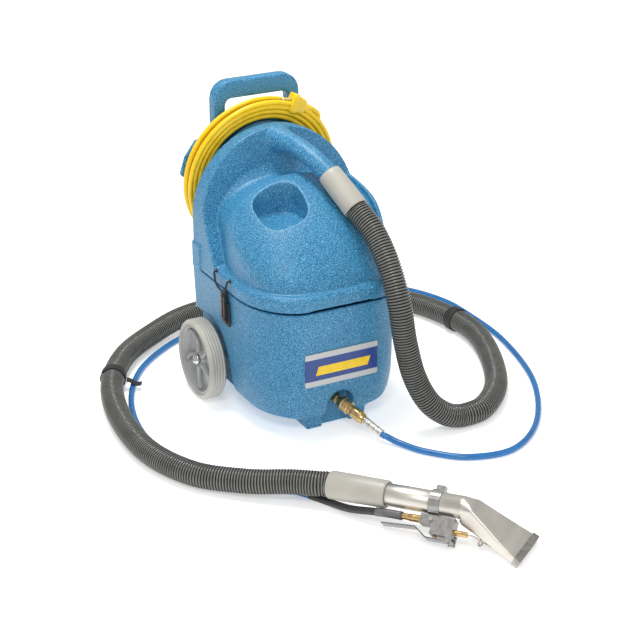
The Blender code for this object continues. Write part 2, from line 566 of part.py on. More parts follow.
def make_latches(looks):
    """On each side a hinged toggle on the base, its bracket, and the bungee loop tied to the tank."""
    for side, name in ((-1, "left"), (1, "right")):
        def at(out, y, z):
            return (side * (0.1605 + out), y, z)

        low, high = at(0.0, 0.094, 0.188), at(0.004, 0.124, 0.236)
        xs = sorted((low[0], high[0]))
        box(f"latch_bracket_{name}", (xs[0], low[1], low[2]), (xs[1], high[1], high[2]), looks["steel"])
        xs = sorted((side * 0.1650, side * 0.1730))
        toggle = box(f"latch_toggle_{name}", (xs[0], 0.090, 0.190), (xs[1], 0.126, 0.2570), looks["black"],
                     0.0015)
        pivot = Vector((side * LATCH_PIVOT_X, toggle.location.y, LATCH_PIVOT_Z))
        toggle.data.transform(Matrix.Translation(toggle.location - pivot))
        toggle.location = pivot
        root = BASE_SECTIONS[-1][1] + FLANGE_PROUD + 0.0027
        loop = [(root, 0.078, 0.290), (root + 0.006, 0.079, 0.287), (root + 0.0065, 0.088, 0.268),
                (root + 0.0040, 0.099, 0.2602), (root + 0.0035, 0.108, 0.2597),
                (root + 0.0040, 0.117, 0.2602), (root + 0.0065, 0.128, 0.268), (root + 0.006, 0.137, 0.287),
                (root, 0.138, 0.290)]
        points = [(side * x, y, z) for x, y, z in loop]
        cord(f"bungee_loop_{name}", smooth_route(points, 20), 0.0021, looks["black"])


def front_at(x):
    """Where the front of the base lies along Y in the label's band."""
    _, half, flat, front, depth = BASE_SECTIONS[4]
    share = max(abs(x) - flat, 0.0) / (half - flat)
    return front + depth * (1 - math.sqrt(1 - share * share))


def make_label(looks):
    """Plain label that follows the front."""
    xs = [LABEL_HALF * (i / 8 - 1) for i in range(17)]
    rings = []
    for z in (LABEL_LOW, LABEL_HIGH):
        near = [(x, front_at(x) - 0.0010, z) for x in xs]
        rings.append([*near, *[(x, front_at(x) - 0.0004, z) for x in reversed(xs)]])
    loft("front_label", rings, looks["label"])


def make_hose_ends(looks):
    """Cuffs of the vacuum hose, and the quick coupler of the solution hose."""
    taper = [(0.0236, CUFF_LENGTH), (0.0228, 0.030), (0.0180, 0.0), (0.0152, 0.0), (0.0152, 0.012),
             (0.0205, 0.030), (0.0205, CUFF_LENGTH)]
    turned("machine_cuff", taper, CUFF_START + CUFF_AXIS * GAP, CUFF_AXIS, looks["cuff"], 24, True)
    cuff = tube_profile(TOOL_CUFF_R, TOOL_TUBE_R + GAP, -TOOL_CUFF_LENGTH, 0.0)
    turned("tool_cuff", cuff, TOOL_START, TOOL_AXIS, looks["cuff"], 24, True)

    nipple = [(0.0, 0.034), (0.0050, 0.034), (0.0056, 0.020), (0.0056, 0.017), (0.0100, 0.017),
              (0.0100, 0.0052), (0.0, 0.0052)]
    turned("port_nipple", nipple, COUPLER_START, COUPLER_AXIS, looks["brass"], 18)
    body = [(0.0098, 0.088), (0.0110, 0.084), (0.0110, 0.060), (0.0098, 0.058), (0.0098, 0.022),
            (0.0060, 0.022), (0.0060, 0.046), (0.0035, 0.048), (0.0035, 0.088)]
    turned("coupler_body", body, COUPLER_START, COUPLER_AXIS, looks["brass"], 20, True)
    sleeve = [(0.0138, 0.048), (0.0138, 0.030), (0.0126, 0.026), (0.0098 + GAP, 0.026), (0.0098 + GAP, 0.050),
              (0.0126, 0.050)]
    turned("coupler_sleeve", sleeve, COUPLER_START, COUPLER_AXIS, looks["brass"], 20, True)
    ferrule = tube_profile(0.0078, 0.0035, 0.088 + GAP, COUPLER_LENGTH)
    turned("hose_ferrule", ferrule, COUPLER_START, COUPLER_AXIS, looks["steel"], 20, True)


def make_hoses(looks):
    """Vacuum hose and solution hose along their routes, and the straps that tie them."""
    start = CUFF_START + CUFF_AXIS * (CUFF_LENGTH + 2 * GAP)
    finish = TOOL_START - TOOL_AXIS * (TOOL_CUFF_LENGTH + GAP)
    points = smooth_route([start, *VAC_ROUTE, finish], VAC_POINTS, VAC_LIE)
    cord("vacuum_hose", square_ends(points, CUFF_AXIS, TOOL_AXIS), VAC_R, looks["hose"], 3)
    for name, x, y in STRAPS:
        near = min(range(1, VAC_POINTS - 1), key=lambda i: (points[i] - Vector((x, y, VAC_R))).length)
        band = tube_profile(VAC_R + 0.0026, VAC_R + 0.0013, -0.010, 0.010)
        along = points[near + 1] - points[near - 1]
        turned(name, band, points[near], along, looks["black"], 24, True)
    start = COUPLER_START + COUPLER_AXIS * (COUPLER_LENGTH + GAP)
    stops = [start, *SOLUTION_ROUTE, *tool_points(SOLUTION_TOOL_STOPS)]
    points = smooth_route(stops, SOLUTION_POINTS, SOLUTION_LIE)
    cord("solution_hose", square_ends(points, COUPLER_AXIS, TOOL_AXIS), SOLUTION_R, looks["blue_hose"])


def coil_point(radius, turn, across):
    """A point of the cord's coil: turn counts from +X towards up, across from the middle to the rear."""
    up = Vector((0, -math.sin(COIL_TILT), math.cos(COIL_TILT)))
    rear = Vector((0, math.cos(COIL_TILT), math.sin(COIL_TILT)))
    return COIL_CENTRE + radius * (Vector((math.cos(turn), 0, 0)) + math.sin(turn) * up) + across * rear


def make_power_cord(looks):
    """The coiled power cord on the rear column, its lead from the strain relief, and its plug."""
    rear = Vector((0, math.cos(COIL_TILT), math.sin(COIL_TILT)))
    half = COIL_DEPTH / 2
    ring = tube_profile(COIL_OUTER, COIL_INNER, -half, half)
    coil = turned("power_cord_coil", ring, COIL_CENTRE, rear, looks["yellow"], 48, True)
    nest = box("plug_nest_cut", (-0.0215, -0.0127, -0.0133), (0.0215, 0.0127, 0.0133), cutter=True)
    nest.location, nest.rotation_euler.y = PLUG_CENTRE, -PLUG_TURN
    cut(coil, nest)
    body = box("power_plug", (-0.020, -0.0115, -0.012), (0.020, 0.0115, 0.012), looks["yellow"], 0.004)
    body.location, body.rotation_euler.y = PLUG_CENTRE, -PLUG_TURN
    join_turn = math.radians(-35)
    join = coil_point(COIL_OUTER + CORD_R + 0.0006, join_turn, 0.008)
    along = coil_point(1.0, join_turn + math.pi / 2, 0) - COIL_CENTRE
    relief_end = Vector((0.060, BASE_REAR + 0.030 + 2 * GAP, 0.140))
    stops = [relief_end, *LEAD_BEND, join - along * 0.035, join]
    cord("power_cord_lead", smooth_route(stops, 26), CORD_R, looks["yellow"])


def tool_frame(roll=0.0):
    """Axes of the hand tool as a matrix: X along the tube, Z away from the valve, rolled about X."""
    side = Vector((0, 0, 1)).cross(TOOL_AXIS).normalized()
    up = TOOL_AXIS.cross(side)
    rolled_up = up * math.cos(roll) + side * math.sin(roll)
    rolled_side = rolled_up.cross(TOOL_AXIS)
    frame = Matrix((TOOL_AXIS, rolled_side, rolled_up)).transposed().to_4x4()
    frame.translation = TOOL_START
    return frame


def tool_points(stops):
    """World points from stops along the tube, sideways, and down from its axis towards the valve."""
    frame = tool_frame(VALVE_ROLL)
    return [frame @ Vector((along, across, -down)) for along, across, down in stops]


def make_tool(looks):
    """Hand tool: tube, flared head, clamp, valve with its trigger, fittings and jet."""
    steel = looks["steel"]
    tube = tube_profile(TOOL_TUBE_R, 0.0188, -0.02, TOOL_ELBOW)
    turned("tool_tube", tube, TOOL_START, TOOL_AXIS, steel, 24, True)

    elbow = TOOL_START + TOOL_AXIS * (TOOL_ELBOW + GAP)
    mouth_axis = (TOOL_MOUTH - elbow).normalized()
    side = Vector((0, 0, 1)).cross(TOOL_AXIS).normalized()
    outer, inner = [], []
    for share, width, height in HEAD_SECTIONS:
        centre = elbow.lerp(TOOL_MOUTH, share)
        axis = TOOL_AXIS.lerp(mouth_axis, min(share * 8, 1.0)).normalized()
        up = axis.cross(side).normalized()
        for ring, wall in ((outer, 0.0), (inner, 0.0014)):
            points = []
            for step in range(24):
                turn = 2 * math.pi * step / 24
                power = 1.0 - 0.62 * min(share * 3, 1.0)
                c, s = math.cos(turn), math.sin(turn)
                x = (width - wall) * math.copysign(abs(c) ** power, c)
                z = (height - wall) * math.copysign(abs(s) ** power, s)
                points.append(centre + side * x + up * z)
            ring.append(points)
    loft_pipe("tool_head", outer, inner, steel)

    frame = tool_frame(VALVE_ROLL)
    rest = bpy.data.objects.new("valve_frame", None)
    use_collection("cutters").objects.link(rest)
    rest.matrix_world = frame

    def on_tool(thing):
        thing.parent = rest
        return thing

    def block(name, low, high, look=None, bevel=0.0, cutter=False):
        return on_tool(box(name, low, high, look, bevel, cutter))

    ring = turned("tool_clamp", tube_profile(0.0238, TOOL_TUBE_R + GAP, 0.084, 0.104), TOOL_START, TOOL_AXIS,
                  looks["cast"], 24, True)
    lug = block("clamp_lug_add", (0.086, -0.006, 0.022), (0.102, 0.006, 0.031), cutter=True)
    cut(ring, lug, operation="UNION")

    body = block("valve_body", (0.073, -0.011, -0.0420), (0.136, 0.011, -0.0243), looks["cast"])
    lower = block("valve_lower_add", (0.096, -0.011, -0.0575), (0.136, 0.011, -0.0400), cutter=True)
    cut(body, lower, operation="UNION")
    along, down = LEVER_PIVOT
    for y in (-0.0125, 0.0105):
        ear = block(f"ear_{'left' if y < 0 else 'right'}_add", (along - 0.007, y, -down - 0.0035),
                    (along + 0.005, y + 0.002, -0.050), cutter=True)
        cut(body, ear, operation="UNION")
    stem_bore = on_tool(rod("stem_bore_cut", (STEM_AT, 0, -0.070), (0, 0, 1), 0.024, 0.0034, cutter=True))
    pin_bore = on_tool(rod("pin_bore_cut", (along, -0.02, -down), (0, 1, 0), 0.04, 0.0020 + GAP, cutter=True))
    cut(body, stem_bore, pin_bore)
    on_tool(rod("trigger_pin", (along, -0.0130, -down), (0, 1, 0), 0.026, 0.0020, steel, 16))
    on_tool(rod("valve_stem", (STEM_AT, 0, -0.0625), (0, 0, 1), 0.012, 0.0030, looks["brass"], 16))
    on_tool(rod("clamp_screw", (0.094, -0.0145, -0.032), (0, 1, 0), 0.0032, 0.0038, steel, 16))
    path = [(along, down), (0.090, down), (0.067, 0.0490), (0.004, 0.0530)]
    strip = [Vector((x, 0, -distance)) for x, distance in path]
    upper, under = [], []
    for i, point in enumerate(strip):
        before, after = strip[max(i - 1, 0)], strip[min(i + 1, len(strip) - 1)]
        run = (after - before).normalized()
        across = Vector((run.z, 0, -run.x)) * 0.00125
        upper.append(point + across)
        under.append(point - across)
    outline = [(p.x - along, p.z + down) for p in [*upper, *reversed(under)]]
    lever = on_tool(plate("trigger_lever", outline, 0.018, looks["lever"]))
    lever.location = (along, 0, -down)
    knuckle = rod("knuckle_add", (0, -0.009, 0), (0, 1, 0), 0.018, 0.0042, cutter=True)
    knuckle.parent = lever
    lever_bore = rod("lever_bore_cut", (0, -0.02, 0), (0, 1, 0), 0.04, 0.0020 + GAP, cutter=True)
    lever_bore.parent = lever
    cut(lever, knuckle, operation="UNION")
    cut(lever, lever_bore)
    inlet = [(0.0068, 0.072), (0.0068, 0.050), (0.0058, 0.048), (0.0058, 0.036), (0.0030, 0.036),
             (0.0030, 0.072)]
    on_tool(turned("inlet_fitting", [(r, h + 0.0007) for r, h in inlet], (0, 0, -VALVE_INLET), (1, 0, 0),
                   looks["brass"], 18, True))
    outlet = tube_profile(0.0050, 0.0022, 0.136 + GAP, 0.160)
    on_tool(turned("outlet_fitting", outlet, (0, 0, -0.0460), (1, 0, 0), looks["brass"], 18, True))
    jet = frame @ Vector((0.160 + GAP, 0, -0.046))
    jet_end = tool_frame() @ Vector((0.200, -0.026, -0.0500))
    jet_route = [jet, frame @ Vector((0.170, 0, -0.046)), jet.lerp(jet_end, 0.6), jet_end]
    cord("jet_tube", smooth_route(jet_route, 8), 0.0020, steel)


def main():
    for thing in list(bpy.data.objects):
        bpy.data.objects.remove(thing)
    looks = {
        "shell": material("granite_blue_plastic", (0.10, 0.34, 0.62), 0.55),
        "rubber": material("black_rubber", (0.03, 0.03, 0.03), 0.7),
        "white": material("white_plastic", (0.8, 0.8, 0.78), 0.5),
        "orange": material("float_plastic", (0.85, 0.35, 0.05), 0.5),
        "motor": material("motor_casing", (0.16, 0.16, 0.17), 0.5, 0.3),
        "black": material("black_plastic", (0.02, 0.02, 0.02), 0.5),
        "red": material("rocker_plastic", (0.55, 0.02, 0.02), 0.35),
        "clear_tube": material("clear_tubing", (0.75, 0.78, 0.78), 0.3),
        "steel": material("brushed_steel", (0.62, 0.60, 0.57), 0.3, 1.0),
        "chrome": material("chrome", (0.75, 0.75, 0.75), 0.12, 1.0),
        "cast": material("cast_aluminium", (0.62, 0.62, 0.62), 0.45, 1.0),
        "lever": material("lever_steel", (0.35, 0.35, 0.36), 0.35, 1.0),
        "brass": material("brass", (0.72, 0.50, 0.20), 0.3, 1.0),
        "hub": material("grey_plastic", (0.55, 0.57, 0.60), 0.3),
        "tyre": material("grey_rubber", (0.60, 0.57, 0.52), 0.6),
        "cuff": material("beige_plastic", (0.62, 0.60, 0.55), 0.45),
        "hose": material("charcoal_hose", (0.07, 0.08, 0.07), 0.45),
        "blue_hose": material("blue_hose", (0.02, 0.20, 0.50), 0.35),
        "yellow": material("yellow_cord", (0.95, 0.62, 0.02), 0.45),
        "label": material("label_blue", (0.03, 0.08, 0.35), 0.35),
    }
    for make in (make_base, make_column, make_tank, make_intake, make_motor_bay, make_solution_line,
                 make_rear_panel, make_wheels, make_latches, make_label, make_hose_ends, make_hoses,
                 make_power_cord, make_tool):
        make(looks)
    bpy.context.view_layer.update()


main()
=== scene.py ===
"""Looks of the portable spot extractor: shells, hoses, power cord, hand tool, materials, light and camera.

Metres, +Z up, in the frame of the CAD model. The front faces -Y and +X is to its right.
"""

from math import copysign, cos, pi, radians, sin, sqrt

import bmesh
import bpy
from mathutils import Matrix, Vector, noise


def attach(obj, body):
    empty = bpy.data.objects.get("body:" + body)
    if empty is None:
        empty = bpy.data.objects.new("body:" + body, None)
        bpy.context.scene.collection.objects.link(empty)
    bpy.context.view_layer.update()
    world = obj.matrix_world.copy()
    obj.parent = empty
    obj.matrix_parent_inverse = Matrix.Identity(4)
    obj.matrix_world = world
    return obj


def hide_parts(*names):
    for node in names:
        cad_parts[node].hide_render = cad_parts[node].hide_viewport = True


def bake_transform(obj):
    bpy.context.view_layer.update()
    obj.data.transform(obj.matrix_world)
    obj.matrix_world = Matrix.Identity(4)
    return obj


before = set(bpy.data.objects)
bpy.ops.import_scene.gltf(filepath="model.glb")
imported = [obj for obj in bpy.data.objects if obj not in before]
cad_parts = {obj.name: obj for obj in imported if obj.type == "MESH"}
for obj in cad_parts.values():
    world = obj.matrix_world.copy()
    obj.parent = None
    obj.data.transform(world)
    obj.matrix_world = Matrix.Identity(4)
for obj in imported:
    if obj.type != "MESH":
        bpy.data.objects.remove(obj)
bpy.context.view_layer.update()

GAP = 0.0003  # clearance between pieces that touch
WALL = 0.008  # wall of both tanks, with the rounding that the smoothing takes away

# Base moulding: height, half width, half width of the flat front, front, depth of the front corners
BASE_SECTIONS = (
    (0.022, 0.106, 0.05, -0.034, 0.072),
    (0.034, 0.138, 0.06, -0.048, 0.1),
    (0.06, 0.151, 0.065, -0.054, 0.118),
    (0.092, 0.156, 0.066, -0.057, 0.122),
    (0.184, 0.158, 0.066, -0.057, 0.122),
    (0.262, 0.161, 0.068, -0.065, 0.132),
)
SEAM_Z = BASE_SECTIONS[-1][0]
BASE_REAR = 0.288
FOOT_HALF = 0.067
NICHE_HALF, NICHE_TOP, NICHE_BACK = 0.028, 0.08, -0.025
FLANGE_TOP, FLANGE_PROUD = 0.292, 0.005
RIM_INSET, RIM_HIGH = 0.0085, 0.0056  # step of the base under the flange, which shows as the dark seam

# Hood of the recovery tank: place along Y, half width, top, height where the sides start to curve in
HOOD_SECTIONS = (
    (-0.056, 0.05, 0.3, 0.288), (-0.047, 0.086, 0.323, 0.29), (-0.024, 0.122, 0.358, 0.296),
    (0.01, 0.143, 0.394, 0.308), (0.06, 0.152, 0.429, 0.328), (0.105, 0.151, 0.45, 0.35),
    (0.138, 0.146, 0.458, 0.358), (0.152, 0.142, 0.454, 0.36), (0.172, 0.139, 0.443, 0.362),
    (0.196, 0.139, 0.445, 0.364), (0.212, 0.143, 0.47, 0.364),
)
ARCH_HALF, ARCH_SPRING, ARCH_TOP, ARCH_REAR = 0.167, 0.364, 0.531, 0.247
ARCH_FRONT = ((0.262, 0.138), (0.29, 0.148), (0.33, 0.17), (0.37, 0.19), (0.44, 0.206), (0.531, 0.216))
# Rim that runs down the right of the hood, beside the hose cuff
LOBE_ROUTE = ((0.15, 0.235, 0.402), (0.153, 0.2, 0.404), (0.1545, 0.155, 0.397), (0.1545, 0.114, 0.386),
              (0.1545, 0.09, 0.366), (0.154, 0.072, 0.336), (0.153, 0.058, 0.305), (0.152, 0.05, 0.272))
LOBE_HOLLOW_SHIFT = (-0.0135, -0.004, 0.0085)
POCKET_CENTRE, POCKET_HALF, POCKET_FLOOR = (-0.06, 0.075), (0.048, 0.049), 0.39
SPOUT_ROUTE = ((0.003, 0.23, 0.499), (0.006, 0.215, 0.506), (0.018, 0.165, 0.504), (0.03, 0.118, 0.491),
               (0.045, 0.074, 0.4675))

# Rear column with its handle, and the power cord that hangs round it
COLUMN_FRONT, COLUMN_HALF, COLUMN_DEPTH = 0.25, 0.114, 0.022
HANDLE_FRONT, HANDLE_REAR = 0.2935, 0.3205
HANDLE_HALF, HANDLE_TOP, HANDLE_FLOOR = 0.0925, 0.609, 0.529
HANDLE_POST, HANDLE_BAR = 0.024, 0.035
COIL_CENTRE = Vector((0.0, 0.2862, 0.413))
COIL_TILT = radians(7.07)
COIL_OUTER = 0.161
CORD_R = 0.0051
# Where the cord turns up behind the strain relief
LEAD_BEND = ((0.06, 0.3311, 0.1403), (0.06, 0.352, 0.1461), (0.0605, 0.3674, 0.1615),
             (0.0625, 0.373, 0.183), (0.068, 0.369, 0.208), (0.0775, 0.356, 0.232),
             (0.0905, 0.339, 0.256))
PLUG_CENTRE = Vector((0.078, 0.2645, 0.55))
PLUG_TURN = radians(-24)

# Where the latch toggles stand off the base's sides
LATCH_X = 0.1625

WHEEL_R, WHEEL_Y, WHEEL_INNER, WHEEL_OUTER = 0.0815, 0.198, 0.158, 0.195
RIM_R, AXLE_R, WELL_R, WELL_X = 0.07, 0.006, 0.0885, 0.1335

CUFF_START = Vector(SPOUT_ROUTE[-1])
CUFF_AXIS = Vector((0.24, -0.77, -0.59)).normalized()
CUFF_LENGTH = 0.084
VAC_R, SOLUTION_R = 0.02325, 0.0062
VAC_LIE, VAC_STRAP_LIE, SOLUTION_LIE = 0.0238, 0.0264, 0.0066
VAC_ROUTE = (
    (0.078, -0.04, 0.382), (0.085, -0.086, 0.328), (0.09, -0.116, 0.262), (0.098, -0.128, 0.187),
    (0.115, -0.138, 0.114), (0.146, -0.152, 0.056), (0.198, -0.16, VAC_LIE), (0.262, -0.152, VAC_LIE),
    (0.34, -0.08, VAC_LIE), (0.405, 0.04, VAC_LIE), (0.438, 0.15, VAC_STRAP_LIE),
    (0.436, 0.245, VAC_STRAP_LIE), (0.403, 0.36, VAC_LIE), (0.32, 0.45, VAC_LIE),
    (0.19, 0.497, 0.028), (0.05, 0.508, 0.0375), (-0.08, 0.498, 0.0375), (-0.185, 0.455, 0.028),
    (-0.272, 0.385, VAC_STRAP_LIE), (-0.342, 0.272, VAC_STRAP_LIE), (-0.378, 0.135, VAC_LIE),
    (-0.383, -0.01, VAC_LIE), (-0.345, -0.125, VAC_LIE), (-0.275, -0.205, 0.0285),
    (-0.212, -0.257, 0.0365),
)
COUPLER_START = Vector((-0.005, NICHE_BACK - GAP, 0.0605))
COUPLER_AXIS = Vector((0.325, -0.892, -0.314)).normalized()
COUPLER_LENGTH = 0.135
SOLUTION_PLAN = (
    (0.089, -0.228), (0.149, -0.283), (0.242, -0.294), (0.344, -0.219), (0.439, -0.068), (0.492, 0.114),
    (0.502, 0.262), (0.491, 0.376), (0.435, 0.48), (0.32, 0.545), (0.17, 0.572), (0.05, 0.548),
    (-0.06, 0.484), (-0.158, 0.43), (-0.246, 0.354), (-0.312, 0.246), (-0.348, 0.122), (-0.35, -0.003),
    (-0.315, -0.104), (-0.253, -0.178), (-0.2, -0.24), (-0.166, -0.297),
)
SOLUTION_ROUTE = ((0.06, -0.178, 0.0085), *[(x, y, SOLUTION_LIE) for x, y in SOLUTION_PLAN])

# Hand tool: the tube's start at the cuff, its direction, and the mouth that rests on the floor
TOOL_START = Vector((-0.0935, -0.398, 0.05))
TOOL_AXIS = Vector((0.57, -0.817, 0.079)).normalized()
TOOL_ELBOW, TOOL_TUBE_R, TOOL_CUFF_R, TOOL_CUFF_LENGTH = 0.141, 0.0205, 0.0255, 0.112
TOOL_MOUTH = Vector((0.056, -0.6115, 0.007))
VALVE_ROLL = radians(46)
TAB_SHARE, LIP_SHARE = 0.42, 0.905
SOLUTION_TOOL_STOPS = ((-0.07, 0.008, 0.035), (-0.02, 0.0, 0.0345), (0.01, 0.0, 0.033),
                       (0.0362, 0.0, 0.033))
# Tool head: share of the way to the mouth, half width, half height
HEAD_SECTIONS = ((0.0, 0.0205, 0.0205), (0.08, 0.0215, 0.02), (0.3, 0.0275, 0.0165),
                 (0.6, 0.0365, 0.011), (0.9, 0.045, 0.0062), (1.0, 0.046, 0.0058))
HEAD_WALL = 0.0014
LABEL_HALF, LABEL_LOW, LABEL_HIGH = 0.078, 0.102, 0.17
LABEL_PROUD, BAR_PROUD = 0.0011, 0.00135
CAMERA_PLACE, CAMERA_AZIMUTH, CAMERA_ELEVATION = (-1.406, -2.6136, 1.527), radians(28), radians(24)
CAMERA_LENS, SENSOR_WIDTH = 95.625, 36.0
# Area lights: name, place, size and power
LIGHTS = (("key", (-1.5, -2.3, 2.9), 0.9, 34.0), ("fill", (2.6, -1.6, 1.8), 1.6, 6.0),
          ("top", (-0.2, 0.5, 3.2), 0.9, 66.0))
FLOOR_SIZE, FLOOR_GLOW, WORLD_LIGHT = 60.0, 0.42, 0.54
TURN = 2 * pi
UP = Vector((0, 0, 1))
BACK = Vector((0, 1, 0))


# ---- helpers

def pieces_collection():
    """The collection that holds the pieces."""
    found = bpy.data.collections.get("pieces")
    if not found:
        found = bpy.data.collections.new("pieces")
        bpy.context.scene.collection.children.link(found)
    return found


def put(name, data, look=None):
    """An object for this mesh or curve."""
    thing = bpy.data.objects.new(name, data)
    pieces_collection().objects.link(thing)
    if look:
        data.materials.append(look)
    return thing


def finish_mesh(name, shape, look=None, smooth=True):
    """Turn a bmesh into an object with outward, smooth faces."""
    bmesh.ops.recalc_face_normals(shape, faces=shape.faces)
    data = bpy.data.meshes.new(name)
    shape.to_mesh(data)
    shape.free()
    data.polygons.foreach_set("use_smooth", [smooth] * len(data.polygons))
    return put(name, data, look)


def settle(piece, body, slot, *nodes):
    """Say which body a piece rides on and which CAD nodes it replaces; the slot argument is not used."""
    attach(piece, body)
    if nodes:
        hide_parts(*nodes)


def skin(name, rings, look=None, caps=True, around=True):
    """A skin over rings of as many points each; around joins each ring's ends, caps closes both ends."""
    shape = bmesh.new()
    rows = [[shape.verts.new(point) for point in ring] for ring in rings]
    count = len(rows[0])
    for row, following in zip(rows, rows[1:]):
        for i in range(count if around else count - 1):
            j = (i + 1) % count
            shape.faces.new((row[i], row[j], following[j], following[i]))
    if caps:
        shape.faces.new(rows[0][::-1])
        shape.faces.new(rows[-1])
    return finish_mesh(name, shape, look)


def axes_for(axis):
    """Two unit vectors square to an axis."""
    axis = Vector(axis).normalized()
    side = axis.cross(UP if abs(axis.z) < 0.95 else BACK).normalized()
    return side, side.cross(axis).normalized()


def lathe(name, profile, start, axis, look=None, steps=64, closed=True, wave=None):
    """A profile of (radius, height) turned about axis; wave(turn, radius, height) may move the radius."""
    axis = Vector(axis).normalized()
    start = Vector(start)
    side, other = axes_for(axis)
    rings = []
    for step in range(steps):
        turn = TURN * step / steps
        out = side * cos(turn) + other * sin(turn)
        ring = []
        for radius, height in profile:
            reach = radius + (wave(turn, radius, height) if wave else 0.0)
            ring.append(start + axis * height + out * reach)
        rings.append(ring)
    rings.append(rings[0])
    return weld(skin(name, rings, look, caps=False, around=closed))


def weld(thing):
    """Merge the points that coincide."""
    shape = bmesh.new()
    shape.from_mesh(thing.data)
    bmesh.ops.remove_doubles(shape, verts=shape.verts, dist=0.00001)
    bmesh.ops.recalc_face_normals(shape, faces=shape.faces)
    shape.to_mesh(thing.data)
    shape.free()
    return thing


def block(name, low, high, look=None):
    """A box between two corners."""
    low, high = Vector(low), Vector(high)
    shape = bmesh.new()
    bmesh.ops.create_cube(shape, size=1.0)
    bmesh.ops.scale(shape, vec=high - low, verts=shape.verts)
    bmesh.ops.translate(shape, vec=(low + high) / 2, verts=shape.verts)
    return finish_mesh(name, shape, look, smooth=False)


def rod(name, start, axis, length, radius, look=None, steps=48):
    """A solid cylinder from start along axis."""
    return lathe(name, [(0.0, 0.0), (radius, 0.0), (radius, length), (0.0, length)], start, axis, look, steps,
                 closed=False)


def crease(thing, degrees=35):
    """Sharp edges where faces meet at more than this angle."""
    thing.data.set_sharp_from_angle(angle=radians(degrees))
    return thing


def bake(thing):
    """Apply the modifiers."""
    evaluated = thing.evaluated_get(bpy.context.evaluated_depsgraph_get())
    data = bpy.data.meshes.new_from_object(evaluated)
    thing.modifiers.clear()
    thing.data = data
    return thing


def boolean(thing, tools, operation):
    """Boolean the tools from, or into, a piece and remove them."""
    for tool in tools:
        modifier = thing.modifiers.new("Boolean", "BOOLEAN")
        modifier.operation, modifier.object, modifier.solver = operation, tool, "EXACT"
    bpy.context.view_layer.update()
    bake(thing)
    for tool in tools:
        bpy.data.objects.remove(tool)
    return thing


def moulded(thing, voxel, rounds, look):
    """Give a hard-edged solid the soft edges of a moulding: an even mesh, then relaxed."""
    remesh = thing.modifiers.new("Remesh", "REMESH")
    remesh.mode, remesh.voxel_size, remesh.use_smooth_shade = "VOXEL", voxel, True
    relax = thing.modifiers.new("Smooth", "SMOOTH")
    relax.factor, relax.iterations = 0.5, rounds
    bpy.context.view_layer.update()
    bake(thing)
    thing.data.materials.clear()
    thing.data.materials.append(look)
    thing.data.polygons.foreach_set("use_smooth", [True] * len(thing.data.polygons))
    return thing


def smooth_route(stops, count, lowest=0.0):
    """This many evenly spaced points on a smooth curve through the stops, none under lowest."""
    stops = [Vector(stop) for stop in stops]
    padded = [2 * stops[0] - stops[1], *stops, 2 * stops[-1] - stops[-2]]
    fine, steps = [], 16
    for a, b, c, d in zip(padded, padded[1:], padded[2:], padded[3:]):
        for step in range(steps):
            t = step / steps
            fine.append(0.5 * (2 * b + (c - a) * t + (2 * a - 5 * b + 4 * c - d) * t**2
                               + (3 * b - a - 3 * c + d) * t**3))
    fine.append(stops[-1])
    run = [0.0]
    for a, b in zip(fine, fine[1:]):
        run.append(run[-1] + (b - a).length)
    points, at = [], 0
    for i in range(count):
        target = run[-1] * i / (count - 1)
        while at < len(run) - 2 and run[at + 1] < target:
            at += 1
        share = (target - run[at]) / (run[at + 1] - run[at])
        point = fine[at].lerp(fine[at + 1], min(max(share, 0.0), 1.0))
        point.z = max(point.z, lowest)
        points.append(point)
    return points


def length_of(points):
    """Length of a line of points."""
    return sum((b - a).length for a, b in zip(points, points[1:]))


def tube_curve(name, points, radius, look):
    """A round tube on a curve of one open spline."""
    data = bpy.data.curves.new(name, "CURVE")
    data.dimensions = "3D"
    data.bevel_depth = radius
    data.bevel_resolution = 4
    data.use_fill_caps = True
    spline = data.splines.new("POLY")
    spline.points.add(len(points) - 1)
    for slot, point in zip(spline.points, points):
        slot.co = (*point, 1.0)
    spline.use_smooth = True
    return put(name, data, look)


def tube_mesh(name, points, radius_at, look=None, sides=24):
    """A tube over points, whose radius is radius_at(number of the point)."""
    rings = []
    side, _ = axes_for(points[1] - points[0])
    for i, point in enumerate(points):
        run = (points[min(i + 1, len(points) - 1)] - points[max(i - 1, 0)]).normalized()
        side = (side - run * side.dot(run)).normalized()
        other = run.cross(side)
        radius = radius_at(i)
        rings.append([point + side * radius * cos(TURN * k / sides) + other * radius * sin(TURN * k / sides)
                      for k in range(sides)])
    return skin(name, rings, look)


def between(table, place):
    """Values of a table whose first column is the place, with a smooth curve between its rows."""
    rows = [tuple(row) for row in table]
    place = min(max(place, rows[0][0]), rows[-1][0])
    at = max(i for i in range(len(rows) - 1) if rows[i][0] <= place + 1e-9)
    before, low = rows[max(at - 1, 0)], rows[at]
    high, after = rows[at + 1], rows[min(at + 2, len(rows) - 1)]
    span = high[0] - low[0]
    t = (place - low[0]) / span
    values = []
    for i in range(1, len(low)):
        slope = (high[i] - before[i]) / (high[0] - before[0]) * span
        slope_after = (after[i] - low[i]) / (after[0] - low[0]) * span
        values.append((2 * t**3 - 3 * t**2 + 1) * low[i] + (t**3 - 2 * t**2 + t) * slope
                      + (-2 * t**3 + 3 * t**2) * high[i] + (t**3 - t**2) * slope_after)
    return values


def steps_of(low, high, count):
    """Evenly spaced numbers, both ends included."""
    return [low + (high - low) * i / (count - 1) for i in range(count)]


def signed_power(value, power):
    """A power that keeps the sign; on cosine and sine it gives an outline between a box and an ellipse."""
    return copysign(abs(value) ** power, value)


# ---- materials

